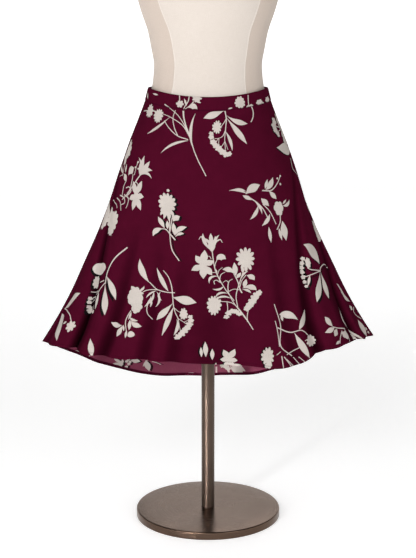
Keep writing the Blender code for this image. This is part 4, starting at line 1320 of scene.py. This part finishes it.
def waistband_piece(name, node_name, prints, start, end, columns):
    """One piece of the band: flat it is a straight strip; worn, its top edge is rounded."""
    middle = 0.5 * (start + end)
    downs = np.array([0, 0.012, 0.03, 0.06, 0.1, 0.2, 0.3, 0.4, 0.5, 0.6, 0.7, 0.8, 0.9, 0.95, 0.98, 1])

    def lay(angle, down):
        x = (angle - middle) / 90 * BAND_HALF_ARC
        return np.stack([x, -BAND_HEIGHT * down], axis=-1)

    def wear(flat):
        angle = middle + flat[..., 0] / BAND_HALF_ARC * 90
        down = -flat[..., 1] / BAND_HEIGHT
        return angle, down, (down > 0) & (down < 1)

    flat, triangles, ink = cut_cloth(prints, lay, wear, start, end, columns, downs)
    angle, down, _ = wear(flat)
    angle, down = np.clip(angle, start, end), np.clip(down, 0, 1)
    worn = within_seams(angle, start, end, band_point(angle, down, 0.0)[:, 2])
    drop = down * BAND_HEIGHT
    lift = BAND_HEIGHT - drop
    corner = BAND_ROUND * np.exp(-(drop / (0.6 * BAND_ROUND)) ** 2)
    seam = BAND_SEAM_SINK * np.exp(-(lift / BAND_SEAM_WIDTH) ** 2)
    padding = BAND_PADDING * np.sin(np.pi * down)
    outer = band_point(worn, down, BAND_OUTER + padding - corner - seam)
    inner = band_point(worn, down, BAND_OUTER - BAND_THICKNESS + 0.9 * corner)
    facing = facing_of(band_point, angle, down)
    facing = facing + np.array([0, 0, 0.9]) * np.exp(-(drop[:, None] / BAND_ROUND) ** 2)
    facing /= np.linalg.norm(facing, axis=-1, keepdims=True)
    piece = wall_of(name, flat, triangles, ink, outer, inner, facing, crepe)
    ends = np.minimum(np.abs(angle - start), np.abs(angle - end)) / 90 * BAND_HALF_ARC
    give(piece.data, "seam_gap", "POINT", np.tile(np.minimum(ends, lift), 2))
    give(piece.data, "hem_gap", "POINT", np.full(2 * len(flat), 1.0))
    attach(piece, "root")
    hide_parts(node_name)


back_band_print = [(ink, outline + shift) for shift in (40, -70) for ink, outline in band_print]
waistband_piece("front_waistband", "waistband_front", band_print, -90, 90, 150)
waistband_piece("back_left_waistband", "waistband_back_left", back_band_print, 90, 180, 76)
right_band_print = [(ink, outline + 25) for ink, outline in back_band_print]
waistband_piece("back_right_waistband", "waistband_back_right", right_band_print, -180, -90, 76)


# ---- The zip ---------------------------------------------------------------------------
# A concealed zip in the centre back seam: two woven tapes behind the cloth with a nylon
# coil between them, and a small enamelled slider with a flat pull tab at the waistband.

TAPE_WIDTH = 0.022
TAPE_THICKNESS = 0.0009
TAPE_REACH = (5 / 14) ** 1.3
TAPE_GAP = 0.0003
TAPE_ROW = 0.0045
COIL_RADIUS = 0.0009
COIL_PITCH = 0.0013
COIL_WIRE = 0.00030
COIL_TURN_STEPS = 10
COIL_START = 0.003
COIL_END = 0.002
WIRE_SIDES = 5


def tape_rows(point, down, side, out):
    """Points across the tape at each height: an even width either way from the centre back."""
    width = smooth_rows(SKIRT_LEVELS, 1, WAIST_HEIGHT - point(np.array(180.0), down, 0.0)[..., 2])
    angle = side * np.degrees(0.5 * TAPE_WIDTH / width)
    return point(np.where(angle > 0, angle - 180, angle + 180), down, out)


def tape_grid(side, out):
    """The tape's rows down the band and then down the panels, at one depth behind them."""
    band_downs = np.linspace(0, 1, 9)[:, None]
    panel_downs = np.linspace(0, TAPE_REACH, 31)[1:, None]
    return np.concatenate([
        tape_rows(band_point, band_downs, side, out),
        tape_rows(skirt_point, panel_downs, side, out),
    ])


tape_cloth, tape_tree, tape_shader = principled(
    "zip_tape_cloth", roughness=0.85, Specular_IOR_Level=0.1)
tape_place = node(tape_tree, "UVMap", uv_map="cloth")
tape_threads = thread_marks(tape_tree, tape_place, 0.0009, 1.2)
tape_tone = ranged(tape_tree, tape_threads, 0.0, 2.4)
tape_colour = mixed(tape_tree, tape_tone, (0.030, 0.002, 0.008), (0.075, 0.006, 0.020))
tape_bump = bumped(tape_tree, tape_threads, 0.4, 0.0002)
wire(tape_shader, Base_Color=tape_colour, Normal=tape_bump)

tape_side = np.linspace(-1, 1, 15)[None, :]
tape_behind = BAND_OUTER - BAND_THICKNESS - TAPE_GAP
tape_outer = tape_grid(tape_side, tape_behind)
tape_inner = tape_grid(tape_side, tape_behind - TAPE_THICKNESS)
tape_ring = np.concatenate([tape_outer, tape_inner[:, ::-1]], axis=1)
tape_faces = tube_faces(*tape_ring.shape[:2], over=True)
tape = shaped("zip_tapes", tape_ring, tape_faces, tape_cloth, sharp=50)
tape_across = np.concatenate([tape_side[0], tape_side[0, ::-1]]) * 0.5 * TAPE_WIDTH
tape_flat = np.meshgrid(tape_across, TAPE_ROW * -np.arange(len(tape_ring)))
give_uv(tape.data, np.stack(tape_flat, axis=-1).reshape(-1, 2))

nylon, nylon_tree, nylon_shader = principled("zip_coil", roughness=0.35)
nylon_marks = noise(nylon_tree, own_place(nylon_tree), 800.0)
nylon_colour = mixed(nylon_tree, nylon_marks, (0.045, 0.004, 0.012), (0.090, 0.012, 0.030))
wire(nylon_shader, Base_Color=nylon_colour)

chain_line = tape_grid(np.zeros((1, 1)), tape_behind - TAPE_THICKNESS - COIL_RADIUS)[:, 0]
chain_out = tape_grid(np.zeros((1, 1)), tape_behind)[:, 0] - chain_line
chain_out /= np.linalg.norm(chain_out, axis=-1, keepdims=True)
chain_length = np.concatenate([[0], np.cumsum(np.linalg.norm(np.diff(chain_line, axis=0), axis=-1))])
coil_steps = int(chain_length[-1] / COIL_PITCH) * COIL_TURN_STEPS
coil_length = np.linspace(COIL_START, chain_length[-1] - COIL_END, coil_steps)
coil_middle, coil_out = (
    np.stack([np.interp(coil_length, chain_length, line[:, k]) for k in range(3)], axis=-1)
    for line in (chain_line, chain_out)
)
coil_turn = 2 * np.pi * coil_length[:, None] / COIL_PITCH
coil_side = np.array([[1.0, 0.0, 0.0]])
coil_wave = np.cos(coil_turn) * coil_side * 1.7 + np.sin(coil_turn) * coil_out
coil_centre = coil_middle + 0.8 * COIL_RADIUS * coil_wave
coil_ahead = np.gradient(coil_centre, axis=0)
coil_ahead /= np.linalg.norm(coil_ahead, axis=-1, keepdims=True)
coil_first = np.cross(coil_ahead, coil_wave)
coil_first /= np.linalg.norm(coil_first, axis=-1, keepdims=True)
coil_second = np.cross(coil_ahead, coil_first)
wire_turn = np.linspace(0, 2 * np.pi, WIRE_SIDES, endpoint=False)[None, :, None]
coil_points = coil_centre[:, None] + COIL_WIRE * (
    np.cos(wire_turn) * coil_first[:, None] + np.sin(wire_turn) * coil_second[:, None])
coil_faces = tube_faces(coil_steps, WIRE_SIDES, over=True)
chain = shaped("zip_coil", coil_points, coil_faces, nylon, sharp=180)
for piece in (tape, chain):
    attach(piece, "root")
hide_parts("zip_tape")

enamel, enamel_tree, enamel_shader = principled("zip_enamel", metallic=0.55, roughness=0.33)
enamel_marks = noise(enamel_tree, own_place(enamel_tree), 420.0, 4.0)
enamel_wear = ranged(enamel_tree, enamel_marks, 0.58, 0.70)
enamel_colour = mixed(enamel_tree, enamel_wear, (0.085, 0.010, 0.028), (0.30, 0.24, 0.22))
enamel_gloss = ranged(enamel_tree, enamel_marks, 0.0, 1.0, 0.24, 0.46)
enamel_bump = bumped(enamel_tree, enamel_marks, 0.2, 0.0002)
wire(enamel_shader, Base_Color=enamel_colour, Roughness=enamel_gloss, Normal=enamel_bump)
for node_name in ("zip_slider", "zip_pull"):
    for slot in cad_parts[node_name].material_slots:
        slot.material = enamel
